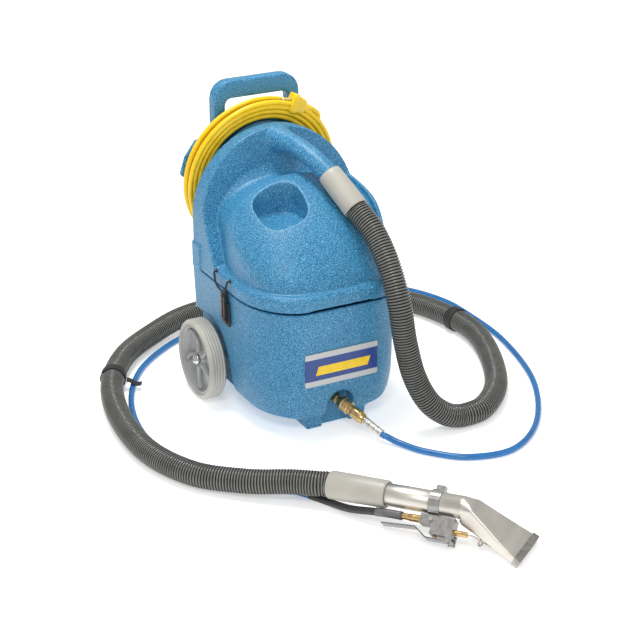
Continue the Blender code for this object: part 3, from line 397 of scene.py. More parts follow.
def new_look(name, colour, roughness, metallic=0.0):
    """A material with its Principled shader."""
    made = bpy.data.materials.new(name)
    made.use_nodes = True
    shader = made.node_tree.nodes["Principled BSDF"]
    shader.inputs["Base Color"].default_value = (*colour, 1.0)
    shader.inputs["Roughness"].default_value = roughness
    shader.inputs["Metallic"].default_value = metallic
    return made


def noise_node(made, scale, detail, stretch=None):
    """A noise texture in object coordinates."""
    tree = made.node_tree
    place = tree.nodes.new("ShaderNodeTexCoord")
    made_noise = tree.nodes.new("ShaderNodeTexNoise")
    made_noise.inputs["Scale"].default_value = scale
    made_noise.inputs["Detail"].default_value = detail
    source = place.outputs["Object"]
    if stretch:
        mapping = tree.nodes.new("ShaderNodeMapping")
        mapping.inputs["Scale"].default_value = stretch
        tree.links.new(source, mapping.inputs["Vector"])
        source = mapping.outputs["Vector"]
    tree.links.new(source, made_noise.inputs["Vector"])
    return made_noise


def ramp(made, source, stops):
    """A colour ramp on a value."""
    tree = made.node_tree
    node = tree.nodes.new("ShaderNodeValToRGB")
    elements = node.color_ramp.elements
    while len(elements) < len(stops):
        elements.new(0.5)
    for element, (position, colour) in zip(elements, stops):
        element.position = position
        element.color = (*colour, 1.0)
    tree.links.new(source, node.inputs["Fac"])
    return node


def paint(made, source, socket="Base Color"):
    """Link a value to a socket of the shader."""
    made.node_tree.links.new(source, made.node_tree.nodes["Principled BSDF"].inputs[socket])


def roughen(made, source, low, high):
    """Roughness that varies between low and high with a value."""
    paint(made, ramp(made, source, [(0.3, (low,) * 3), (0.7, (high,) * 3)]).outputs["Color"], "Roughness")


def bump(made, source, strength, distance):
    """A bump from a value."""
    tree = made.node_tree
    node = tree.nodes.new("ShaderNodeBump")
    node.inputs["Strength"].default_value = strength
    node.inputs["Distance"].default_value = distance
    tree.links.new(source, node.inputs["Height"])
    paint(made, node.outputs["Normal"], "Normal")


def shade(colour, factor):
    """A colour made darker or lighter."""
    return tuple(min(channel * factor, 1.0) for channel in colour)


def mottled(name, colour, roughness, metallic=0.0, scale=60.0, spread=0.12, grain=900.0, depth=0.00006,
            strength=0.5, stretch=None):
    """A material with slight mottling, uneven gloss and a fine grain."""
    made = new_look(name, colour, roughness, metallic)
    broad = noise_node(made, scale, 5.0, stretch)
    stops = [(0.3, shade(colour, 1 - spread)), (0.7, shade(colour, 1 + spread))]
    paint(made, ramp(made, broad.outputs["Fac"], stops).outputs["Color"])
    roughen(made, broad.outputs["Fac"], max(roughness - 0.07, 0.02), min(roughness + 0.07, 1.0))
    fine = noise_node(made, grain, 3.0, stretch)
    bump(made, fine.outputs["Fac"], strength, depth)
    return made


def granite():
    """Blue moulded plastic with light and dark flecks."""
    made = new_look("granite_blue", (0.07, 0.26, 0.46), 0.42)
    tree = made.node_tree
    fleck = noise_node(made, 760.0, 2.0)
    flecks = ramp(made, fleck.outputs["Fac"], [
        (0.35, (0.001, 0.046, 0.125)), (0.44, (0.009, 0.148, 0.31)), (0.54, (0.018, 0.222, 0.432)),
        (0.64, (0.215, 0.52, 0.73))])
    cloud = noise_node(made, 9.0, 3.0)
    clouds = ramp(made, cloud.outputs["Fac"], [(0.3, (0.93, 0.93, 0.93)), (0.7, (1.05, 1.05, 1.05))])
    mix = tree.nodes.new("ShaderNodeMix")
    mix.data_type, mix.blend_type = "RGBA", "MULTIPLY"
    mix.inputs["Factor"].default_value = 1.0
    colour_inputs = [socket for socket in mix.inputs if socket.type == "RGBA"]
    tree.links.new(flecks.outputs["Color"], colour_inputs[0])
    tree.links.new(clouds.outputs["Color"], colour_inputs[1])
    paint(made, next(socket for socket in mix.outputs if socket.type == "RGBA"))
    roughen(made, fleck.outputs["Fac"], 0.36, 0.5)
    grain = noise_node(made, 650.0, 2.0)
    bump(made, grain.outputs["Fac"], 0.45, 0.0004)
    return made


def label_look():
    """Printed panel: a blue field between two grey bands; the slanted bar is a piece of its own."""
    made = new_look("label_print", (0.025, 0.065, 0.28), 0.32)
    tree = made.node_tree
    place = tree.nodes.new("ShaderNodeTexCoord")
    split = tree.nodes.new("ShaderNodeSeparateXYZ")
    tree.links.new(place.outputs["Object"], split.inputs["Vector"])
    height = tree.nodes.new("ShaderNodeMapRange")
    height.inputs["From Min"].default_value = LABEL_LOW
    height.inputs["From Max"].default_value = LABEL_HIGH
    tree.links.new(split.outputs["Z"], height.inputs["Value"])
    grey, blue = (0.52, 0.53, 0.53), (0.022, 0.06, 0.25)
    bands = ramp(made, height.outputs["Result"], [(0.0, grey), (0.165, blue), (0.825, grey)])
    bands.color_ramp.interpolation = "CONSTANT"
    paint(made, bands.outputs["Color"])
    fine = noise_node(made, 900.0, 2.0)
    bump(made, fine.outputs["Fac"], 0.3, 0.00004)
    return made


def make_looks():
    """All materials by name."""
    return {
        "shell": granite(),
        "rubber": mottled("black_rubber", (0.025, 0.025, 0.026), 0.62, scale=80),
        "elastic": mottled("black_elastic", (0.018, 0.018, 0.019), 0.75, grain=2200, depth=0.0002),
        "strap": mottled("black_webbing", (0.02, 0.02, 0.022), 0.7, grain=1500, depth=0.0003,
                         strength=0.8),
        "white": mottled("white_plastic", (0.7, 0.7, 0.67), 0.45),
        "orange": mottled("float_plastic", (0.75, 0.28, 0.04), 0.4),
        "motor": mottled("motor_casing", (0.1, 0.1, 0.11), 0.45, 0.3),
        "black": mottled("black_plastic", (0.03, 0.03, 0.032), 0.42, grain=1300, depth=0.0001),
        "red": mottled("rocker_plastic", (0.45, 0.02, 0.02), 0.25),
        "clear": mottled("clear_tubing", (0.62, 0.66, 0.66), 0.25),
        "chrome": mottled("zinc_nut", (0.62, 0.63, 0.64), 0.22, 1.0, scale=40, spread=0.06),
        "steel": mottled("galvanised_steel", (0.5, 0.5, 0.5), 0.38, 1.0),
        "cast": mottled("cast_aluminium", (0.36, 0.355, 0.34), 0.42, 0.9, scale=140, grain=700,
                        depth=0.00035),
        "lever": mottled("lever_steel", (0.34, 0.34, 0.345), 0.24, 1.0, scale=120),
        "brass": mottled("brass", (0.64, 0.44, 0.2), 0.26, 1.0, scale=90, spread=0.18, depth=0.00005),
        "hub": mottled("grey_hub", (0.37, 0.375, 0.37), 0.16, scale=30, spread=0.06),
        "tyre": mottled("grey_tyre", (0.46, 0.445, 0.395), 0.45, scale=30, spread=0.08, depth=0.00012),
        "cuff": mottled("beige_cuff", (0.44, 0.42, 0.37), 0.4, scale=24, spread=0.05, depth=0.00008),
        "hose": mottled("charcoal_hose", (0.15, 0.153, 0.135), 0.2, scale=35, spread=0.15),
        # near-black painted shade for the hose's grooves, where shade falls between the ribs
        "hose_groove_shade": mottled("charcoal_groove", (0.004, 0.004, 0.004), 0.55, scale=35, spread=0.2),
        "blue_hose": mottled("blue_hose", (0.015, 0.15, 0.4), 0.3, scale=40, spread=0.12),
        "yellow": mottled("yellow_cord", (0.9, 0.6, 0.01), 0.3, scale=35, spread=0.07),
        "label": label_look(),
        "lip": mottled("worn_lip", (0.36, 0.345, 0.32), 0.42, 1.0, scale=90, spread=0.25),
        "grey": mottled("grey_sleeve", (0.13, 0.13, 0.13), 0.35),
        "gloss": mottled("black_gloss", (0.02, 0.02, 0.021), 0.22),
        "stainless": mottled("brushed_stainless", (0.66, 0.628, 0.57), 0.4, 1.0, scale=10, spread=0.1,
                             grain=260, depth=0.00003, strength=0.12, stretch=(1.0, 1.0, 6.0)),
    }


LOOKS = make_looks()


# ---- shells

def plan_ring(z, half, flat, front, depth, rear=BASE_REAR, inset=0.0, corner=0.03):
    """Plan of the machine at one height: flat front, long elliptical corners, square rear."""
    half, front, rear = half - inset, front + inset, rear - inset
    side = [(flat + (half - flat) * sin(turn), front + depth * (1 - cos(turn)))
            for turn in steps_of(0.0, pi / 2, 22)]
    side += [(half - corner * (1 - cos(turn)), rear - corner * (1 - sin(turn)))
             for turn in steps_of(0.0, pi / 2, 8)]
    return [(x, y, z) for x, y in [*side, *[(-x, y) for x, y in reversed(side)]]]


def base_rings(low, count, **options):
    """Plans of the base from a height up to the seam."""
    return [plan_ring(z, *between(BASE_SECTIONS, z), **options) for z in steps_of(low, SEAM_Z, count)]


def make_base():
    """Lower moulding with its foot, niche, wheel wells and the open spaces inside."""
    look = LOOKS["shell"]
    rings = base_rings(BASE_SECTIONS[0][0], 18)
    below = [plan_ring(SEAM_Z - 0.0058, *between(BASE_SECTIONS, SEAM_Z - 0.0058))]
    rim = [plan_ring(z, *between(BASE_SECTIONS, z), inset=RIM_INSET) for z in (SEAM_Z - RIM_HIGH, SEAM_Z)]
    base = skin("base_shell", [*rings[:-1], *below, *rim], look)
    foot = [(x * FOOT_HALF, y, z) for z, x in ((0.0, 0.94), (0.045, 1.0)) for y in (-0.035, 0.035)
            for x in ((-x, x) if y < 0 else (x, -x))]
    boolean(base, [skin("foot_add", [foot[:4], foot[4:]])], "UNION")
    tank_rings = base_rings(0.04, 12, rear=0.082 + WALL, inset=WALL, corner=0.006)
    tank_rings.append([(x, y, SEAM_Z + 0.02) for x, y, _ in tank_rings[-1]])
    solution = skin("solution_cut", tank_rings)
    wall = NICHE_HALF + WALL
    boolean(solution, [block("niche_wall", (-wall, -0.1, 0), (wall, NICHE_BACK + WALL, NICHE_TOP + WALL))],
            "DIFFERENCE")
    turns = steps_of(0.0, pi, 14)
    spring = NICHE_TOP - NICHE_HALF
    over = [(NICHE_HALF * cos(t), spring + NICHE_HALF * sin(t)) for t in turns]
    arch = [(NICHE_HALF + 0.003, -0.01), *over, (-NICHE_HALF - 0.003, -0.01)]
    niche = skin("niche_cut", [[(x, -0.1, z) for x, z in arch], [(x, NICHE_BACK, z) for x, z in arch]])
    low_bay = block("low_bay_cut", (-0.121, 0.093, 0.035), (0.121, 0.269, 0.2))
    high_bay = block("high_bay_cut", (-0.143, 0.093, 0.195), (0.143, 0.24, SEAM_Z + 0.02))
    switch_hole = block("switch_hole_cut", (-0.08, 0.255, 0.112), (0.02, 0.3, 0.158))
    tools = [solution, niche, low_bay, high_bay, switch_hole]
    for side in (-1, 1):
        start = (side * WELL_X, WHEEL_Y, WHEEL_R)
        tools.append(rod("well_cut", start, (side, 0, 0), 0.07, WELL_R, steps=64))
        xs = sorted((side * WELL_X, side * 0.2))
        tools.append(block("tail_cut", (xs[0], WHEEL_Y, -0.01), (xs[1], 0.32, WHEEL_R + WELL_R - 0.005)))
    for x, y in ((0.076, 0.07), (0.104, 0.07)):
        tools.append(rod("line_cut", (x, y, 0.222), (0, 1, 0), 0.03, 0.006, steps=24))
    tools.append(rod("port_cut", COUPLER_START + Vector((0, -0.01, 0)), (0, 1, 0), 0.03, 0.0065, steps=24))
    tools.append(rod("axle_cut", (-0.2, WHEEL_Y, WHEEL_R), (1, 0, 0), 0.4, 0.0072, steps=24))
    boolean(base, tools, "DIFFERENCE")
    moulded(base, 0.0022, 4, look)
    settle(base, "base", "granite_blue", "base_tank")


def arch_section(y, half, top, spring, floor):
    """Upright section of the hood: straight sides under a half ellipse."""
    right = [(half, z) for z in steps_of(floor, spring, 8)][:-1]
    over = [(half * cos(t), spring + (top - spring) * sin(t)) for t in steps_of(0.0, pi, 36)]
    left = [(-x, z) for x, z in reversed(right)]
    return [(x, y, z) for x, z in [*right, *over, *left]]


def arch_face(reach, floor):
    """The front face of the rear arch at this share of its outline."""
    middle = Vector((0.0, 0.0, 0.385))
    points = []
    for point in arch_section(0.0, ARCH_HALF, ARCH_TOP, ARCH_SPRING, floor):
        moved = middle.lerp(Vector(point), reach)
        points.append((moved.x, between(ARCH_FRONT, moved.z)[0], moved.z))
    return points


def make_tank():
    """Recovery tank: rear arch, hood, flange, pocket and intake spout in one hollow moulding."""
    look = LOOKS["shell"]
    front = [arch_face(reach, SEAM_Z + 0.007) for reach in (0.05, 0.35, 0.65, 0.85, 1.0)]
    rear = [(x, ARCH_REAR, z) for x, _, z in front[-1]]
    tank = skin("recovery_shell", [*front, rear], look)
    places = steps_of(HOOD_SECTIONS[0][0], HOOD_SECTIONS[-1][0], 34)
    hood = skin("hood_add", [arch_section(y, *between(HOOD_SECTIONS, y), SEAM_Z + 0.012) for y in places])
    half, flat, edge, depth = BASE_SECTIONS[-1][1:]
    steps = ((SEAM_Z + GAP, FLANGE_PROUD - 0.001), (0.27, FLANGE_PROUD), (0.286, FLANGE_PROUD),
             (FLANGE_TOP, -0.001))
    flange = skin("flange_add", [plan_ring(z, half + out, flat, edge - out, depth, ARCH_REAR - 0.0006)
                                 for z, out in steps])
    route = smooth_route(SPOUT_ROUTE, 22)
    spout = tube_mesh("spout_add", route, lambda i: 0.0192 + 0.014 * max(0.0, 1 - i / 7) ** 1.5, sides=36)
    lobe_route = smooth_route(LOBE_ROUTE, 40)
    lobe = tube_mesh("lobe_add", lobe_route, lambda i: 0.0105, sides=20)
    ears = [block("ear_add", (low, 0.212, SEAM_Z + 0.001), (high, ARCH_REAR - 0.0012, 0.315))
            for low, high in ((-0.1705, -0.15), (0.15, 0.1705))]
    boolean(tank, [flange, hood, spout, lobe, *ears], "UNION")
    hollow_route = [stop + Vector(LOBE_HOLLOW_SHIFT) for stop in lobe_route[5:28]]
    hollow = tube_mesh("lobe_hollow_cut", hollow_route, lambda i: 0.012, sides=24)
    inner = [(y, half - 4 * WALL, top - WALL, spring) for y, half, top, spring in HOOD_SECTIONS[1:]]
    inner[0] = (inner[0][0] + WALL, *inner[0][1:])
    inner[-1] = (ARCH_REAR - WALL, *inner[-1][1:])
    cavity = skin("cavity_cut", [arch_section(y, *between(inner, y), SEAM_Z + WALL)
                                 for y in steps_of(inner[0][0], inner[-1][0], 20)])
    (cx, cy), (hx, hy) = POCKET_CENTRE, POCKET_HALF
    guard = block("pocket_wall", (cx - hx - WALL, cy - hy - WALL, POCKET_FLOOR - WALL),
                  (cx + hx + WALL, cy + hy + WALL, 0.6))
    boolean(cavity, [guard], "DIFFERENCE")
    outline = []
    for turn in steps_of(0.0, TURN, 49)[:-1]:
        power = 0.55 if sin(turn) > 0 else 0.8
        outline.append((cx + hx * signed_power(cos(turn), 0.7), cy + hy * signed_power(sin(turn), power)))
    pocket = skin("pocket_cut", [[(cx + (x - cx) * grow, cy + (y - cy) * grow, z) for x, y in outline]
                                 for z, grow in ((POCKET_FLOOR, 0.9), (0.41, 0.97), (0.6, 1.08))])
    bore_route = smooth_route([*SPOUT_ROUTE, CUFF_START + CUFF_AXIS * 0.01], 16)
    bore = tube_mesh("bore_cut", bore_route, lambda i: 0.016, sides=32)
    drain = rod("drain_cut", (-0.045, 0.18, SEAM_Z - 0.01), UP, 0.03, 0.0206)
    notch = block("notch_cut", (-0.07, -0.09, SEAM_Z - 0.01), (0.058, -0.052, SEAM_Z + 0.002))
    boolean(tank, [cavity, hollow, pocket, bore, drain, notch], "DIFFERENCE")
    moulded(tank, 0.0021, 4, look)
    settle(tank, "recovery", "granite_blue", "recovery_tank")


def rounded_gate(half, low, top, corner):
    """Outline of an upright gate with rounded top corners, from its right foot to its left."""
    outline = [(half, low)]
    for side in (1, -1):
        for step in range(12):
            turn = pi / 2 * (step / 11 if side > 0 else 1 - step / 11)
            outline.append((side * (half - corner * (1 - cos(turn))), top - corner * (1 - sin(turn))))
    outline.append((-half, low))
    return outline


def plate(name, outline, front, rear):
    """A flat outline in X and Z, thick from front to rear."""
    return skin(name, [[(x, front, z) for x, z in outline], [(x, rear, z) for x, z in outline]])


def make_column():
    """Rear column, its cord hooks and the carrying handle."""
    look = LOOKS["shell"]
    over = [(COLUMN_HALF * cos(t), COIL_CENTRE.z + COLUMN_HALF * sin(t)) for t in steps_of(0, pi, 40)]
    arch = [(COLUMN_HALF, SEAM_Z + GAP), *over, (-COLUMN_HALF, SEAM_Z + GAP)]
    column = plate("column_shell", arch, COLUMN_FRONT, COLUMN_FRONT + COLUMN_DEPTH)
    half = HANDLE_HALF
    low_boss = block("low_boss_add", (-half, COLUMN_FRONT + 0.01, 0.425), (half, HANDLE_REAR, 0.472))
    loop = plate("handle_add", rounded_gate(half, 0.464, HANDLE_TOP, 0.036), HANDLE_FRONT, HANDLE_REAR)
    hole = rounded_gate(half - HANDLE_POST, HANDLE_FLOOR, HANDLE_TOP - HANDLE_BAR, 0.014)
    hooks = [(0.06, 0.412), (0.15, 0.418), (0.163, 0.43), (0.152, 0.464), (0.128, 0.496), (0.06, 0.503)]
    fins = plate("hook_add", [*hooks, *[(-x, z) for x, z in reversed(hooks)]], 0.3075, 0.3155)
    boolean(column, [low_boss, loop, fins], "UNION")
    boolean(column, [plate("handle_gap_cut", hole, 0.26, 0.36)], "DIFFERENCE")
    moulded(column, 0.0022, 8, look)
    settle(column, "base", "granite_blue", "rear_column")


# ---- wheels, latches, label

def make_wheels():
    """Two wheels: a ribbed tyre on a dished hub with curved arms, and a cap nut."""
    width = WHEEL_OUTER - WHEEL_INNER

    def ribs(_, radius, height):
        return 0.0007 * cos(TURN * height / 0.0058) if radius > WHEEL_R - 0.001 else 0.0

    def facets(turn, radius, _):
        return 0.0004 * cos(6 * turn) if radius > 0.0065 else 0.0

    for side, name in ((-1, "left"), (1, "right")):
        start, axis = Vector((side * WHEEL_INNER, WHEEL_Y, WHEEL_R)), Vector((side, 0, 0))
        tread = [(WHEEL_R - 0.0008, h) for h in steps_of(0.0055, width - 0.0055, 41)]
        shoulder = WHEEL_R - 0.0026
        profile = [(RIM_R + GAP, 0.002), (0.0715, 0.0003), (shoulder - 0.003, 0.0008), (shoulder, 0.003),
                   *tread, (shoulder, width - 0.003), (shoulder - 0.003, width - 0.0008),
                   (0.0735, width - 0.0003), (0.0718, width - 0.0018), (RIM_R + GAP, width - 0.0022)]
        tyre = lathe(f"tyre_ribbed_{name}", profile, start, axis, LOOKS["tyre"], 96, wave=ribs)
        settle(tyre, f"wheel_{name}", "grey_tyre", f"tyre_{name}")
        rim = RIM_R
        bore = AXLE_R + GAP
        hub_profile = [(bore, 0.001), (0.014, 0.001), (0.015, 0.013), (rim - 0.006, 0.0145),
                       (rim - 0.005, 0.004), (rim, 0.004), (rim, width - 0.0035),
                       (rim - 0.0022, width - 0.0028), (rim - 0.0042, width - 0.004),
                       (rim - 0.0056, width - 0.013), (rim - 0.01, 0.019), (0.03, 0.018),
                       (0.0175, 0.0185), (0.015, width - 0.013), (0.0138, width - 0.0105),
                       (bore, width - 0.0105)]
        hub = lathe(f"hub_dish_{name}", hub_profile, start, axis, LOOKS["hub"], 96)
        across = axis.cross(UP)
        for arm in range(5):
            turn = radians(72 * arm + 20)
            rings = []
            for t in steps_of(0.0, 1.0, 9):
                angle = turn + 0.35 * t * t
                out = UP * cos(angle) + across * sin(angle)
                flank = (across * cos(angle) - UP * sin(angle)) * (0.0062 - 0.0014 * sin(pi * t))
                high = width - 0.0085 - 0.002 * sin(pi * t)
                half = ((1.3, 0.0165), (0.75, high - 0.0012), (0.35, high))
                corners = [*half, *[(-wide, height) for wide, height in reversed(half)]]
                centre = start + out * (0.0125 + t * (rim - 0.0175))
                rings.append([centre + flank * wide + axis * height for wide, height in corners])
            skin(f"hub_arm_{name}_{arm}", rings, LOOKS["hub"]).parent = hub
        settle(hub, f"wheel_{name}", "grey_plastic", f"wheel_hub_{name}")
        nut_start = Vector((side * (WHEEL_OUTER - 0.006 + GAP), WHEEL_Y, WHEEL_R))
        nut_profile = [(bore, -0.004), (0.0098, -0.004), (0.0102, -0.001), (0.0096, 0.0012), (0.0075, 0.003),
                       (0.007, 0.0052), (0.0045, 0.0066), (0.0, 0.007), (0.0, 0.0), (bore, 0.0)]
        nut = lathe(f"cap_nut_{name}_piece", nut_profile, nut_start, axis, LOOKS["chrome"], 48, wave=facets)
        settle(nut, "base", "chrome", f"cap_nut_{name}")


def make_latches():
    """The elastic loops of the tank with their eyelets, and the toggles that they hook over."""
    eyelet = [(0.0024, 0.0), (0.0042, 0.0), (0.0046, 0.0007), (0.004, 0.0014), (0.0024, 0.0014)]
    for side, name in ((-1, "left"), (1, "right")):
        root = 0.1645 + 0.0022
        front = [(0.0, 0.078, 0.29), (0.006, 0.079, 0.287), (0.0065, 0.088, 0.268), (0.004, 0.099, 0.2602)]
        rear = [(out, 0.216 - y, z) for out, y, z in reversed(front)]
        loop = [(root + out, y, z) for out, y, z in (*front, (0.0035, 0.108, 0.2597), *rear)]
        points = smooth_route([(side * x, y, z) for x, y, z in loop], 60)
        piece = tube_curve(f"elastic_loop_{name}", points, 0.002, LOOKS["elastic"])
        settle(piece, "recovery", "black_elastic", f"bungee_loop_{name}")
        for y in (0.078, 0.138):
            knot = lathe(f"loop_eyelet_{name}_{y * 1000:.0f}", eyelet, (side * root, y, 0.29), (side, 0, 0),
                         LOOKS["black"], 24)
            settle(knot, "recovery", "black_plastic")
        x = LATCH_X
        side_view = [(x, 0.257), (x + 0.0035, 0.2572), (x + 0.0082, 0.253), (x + 0.0092, 0.246),
                     (x + 0.0088, 0.212), (x + 0.0062, 0.196), (x + 0.0034, 0.1915), (x, 0.192)]
        flat = [[(side * a, y, z) for a, z in side_view] for y in (0.099, 0.1005, 0.1165, 0.118)]
        for end in (0, -1):
            flat[end] = [(side * (x + (a - x) * 0.85 + 0.0004), flat[end][0][1], 0.224 + (z - 0.224) * 0.965)
                         for a, z in side_view]
        toggle = crease(skin(f"toggle_arm_{name}", flat, LOOKS["gloss"]), 50)
        low, high = sorted((side * (x + 0.0085), side * (x + 0.0106)))
        rib = block(f"toggle_rib_{name}", (low, 0.106, 0.208), (high, 0.1112, 0.25), LOOKS["gloss"])
        rib.parent = toggle
        settle(toggle, f"toggle_{name}", "black_plastic", f"latch_toggle_{name}")


def front_at(x):
    """Where the front of the base lies along Y in the label's band."""
    _, half, flat, front, depth = BASE_SECTIONS[4]
    share = max(abs(x) - flat, 0.0) / (half - flat)
    return front + depth * (1 - sqrt(1 - share * share))


def make_label():
    """A plain, letter-free label that follows the front."""
    corner = 0.003
    rings = []
    for z in steps_of(LABEL_LOW, LABEL_HIGH, 33):
        into = max(corner - min(z - LABEL_LOW, LABEL_HIGH - z), 0.0)
        half = LABEL_HALF - (corner - sqrt(max(corner**2 - into**2, 0.0)))
        xs = steps_of(-half, half, 33)
        near = [(x, front_at(x) - LABEL_PROUD, z) for x in xs]
        rings.append([*near, *[(x, front_at(x) - 0.0004, z) for x in reversed(xs)]])
    settle(crease(skin("front_panel", rings, LOOKS["label"])), "base", "label_blue", "front_label")
    bar_low, bar_high, half = LABEL_LOW + 0.022, LABEL_HIGH - 0.028, 0.056
    rings = []
    for t in steps_of(0.0, 1.0, 5):
        z = bar_low + t * (bar_high - bar_low)
        xs = [x + 0.006 * t for x in steps_of(-half, half, 25)]
        rings.append([*[(x, front_at(x) - BAR_PROUD, z) for x in xs],
                      *[(x, front_at(x) - LABEL_PROUD, z) for x in reversed(xs)]])
    settle(crease(skin("label_bar", rings, LOOKS["yellow"])), "base", "label_blue")


# ---- hoses and cord

def make_vacuum_hose():
    """Corrugated vacuum hose with its cuffs and straps."""
    start = CUFF_START + CUFF_AXIS * (CUFF_LENGTH + 2 * GAP)
    finish = TOOL_START - TOOL_AXIS * (TOOL_CUFF_LENGTH + GAP)
    route = smooth_route([start, *VAC_ROUTE, finish], 110, VAC_LIE)
    share, pitch = 4, 0.0054  # points in each corrugation and its length
    stops = [start, start + CUFF_AXIS * 0.006, *route[1:-1], finish - TOOL_AXIS * 0.006, finish]
    points = smooth_route(stops, int(length_of(stops) / pitch) * share + 1)
    radii = (VAC_R - 0.0036, VAC_R - 0.0008, VAC_R, VAC_R - 0.0008)
    sides = 32
    # the faces in the grooves get the near-black painted shade; the crests keep the hose's charcoal
    hose = tube_mesh("corrugated_hose", points, lambda i: radii[i % share], LOOKS["hose_groove_shade"], sides)
    hose.data.materials.append(LOOKS["hose"])
    crests = [1 if face.index // sides % share in (1, 2) else 0 for face in hose.data.polygons]
    hose.data.polygons.foreach_set("material_index", crests)
    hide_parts("vacuum_hose")
    for node, x, y in (("strap_right", 0.437, 0.228), ("strap_left", -0.325, 0.306)):
        near = min(range(20, len(points) - 20), key=lambda i: (points[i] - Vector((x, y, VAC_R))).length)
        along = (points[near + 8] - points[near - 8]).normalized()
        make_strap(node, points[near], along)
    bore, end = TOOL_TUBE_R + GAP, -TOOL_CUFF_LENGTH
    tool_cuff = lathe("tool_cuff_piece", [
        (bore, end), (0.0245, end), (TOOL_CUFF_R, end + 0.0015), (TOOL_CUFF_R, -0.06), (0.0251, -0.054),
        (0.0249, -0.0035), (0.0242, -0.0008), (0.0232, 0.0), (bore, 0.0)],
        TOOL_START, TOOL_AXIS, LOOKS["cuff"], 72)
    settle(tool_cuff, "base", "beige_plastic", "tool_cuff")
    end = CUFF_LENGTH
    machine_cuff = lathe("machine_cuff_piece", [
        (0.0152, 0.0), (0.02, 0.0), (0.02, -0.004), (0.0218, -0.004), (0.023, -0.003), (0.0237, 0.006),
        (0.0243, 0.03), (0.0246, 0.055), (0.0246, end - 0.002), (0.024, end), (0.0212, end),
        (0.0212, 0.03), (0.0152, 0.012)], CUFF_START + CUFF_AXIS * GAP, CUFF_AXIS, LOOKS["cuff"], 72)
    settle(machine_cuff, "recovery", "beige_plastic", "machine_cuff")
    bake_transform(hose)


def make_strap(node, centre, along):
    """A webbing strap round the hose, with a loose tail."""
    inner, outer = VAC_R + 0.0012, VAC_R + 0.0027
    profile = [(inner, -0.01), (outer - 0.0003, -0.01), (outer, -0.0095), (outer, 0.0095),
               (outer - 0.0003, 0.01), (inner, 0.01)]
    band = lathe(f"{node}_band", profile, centre, along, LOOKS["strap"], 64)
    out = Vector((centre.x, centre.y, 0.0)).normalized()
    if node == "strap_left":
        out = -out
    side = (out - along * out.dot(along)).normalized()
    lift = along.cross(side).normalized()
    if lift.z < 0:
        lift = -lift
    root = centre + side * (outer + 0.0008) - lift * 0.004
    stops = [root, root + side * 0.01 - lift * 0.004, root + side * 0.02 - lift * 0.01,
             root + side * 0.03 - lift * 0.009]
    ribbon = smooth_route(stops, 14, 0.003)
    rings = []
    for i, point in enumerate(ribbon):
        run = (ribbon[min(i + 1, 13)] - ribbon[max(i - 1, 0)]).normalized()
        normal = run.cross(along).normalized() * 0.0007
        wide = along * 0.0085
        rings.append([point + wide + normal, point - wide + normal, point - wide - normal,
                      point + wide - normal])
    tail = crease(skin(f"{node}_tail", rings, LOOKS["strap"]))
    tail.parent = band
    settle(band, "base", "black_plastic", node)
    return band


def tool_frame(roll):
    """Axes of the hand tool as a matrix: X along the tube, Z away from the valve, rolled about X."""
    side = UP.cross(TOOL_AXIS).normalized()
    up = TOOL_AXIS.cross(side)
    rolled_up = up * cos(roll) + side * sin(roll)
    rolled_side = rolled_up.cross(TOOL_AXIS)
    made = Matrix((TOOL_AXIS, rolled_side, rolled_up)).transposed().to_4x4()
    made.translation = TOOL_START
    return made


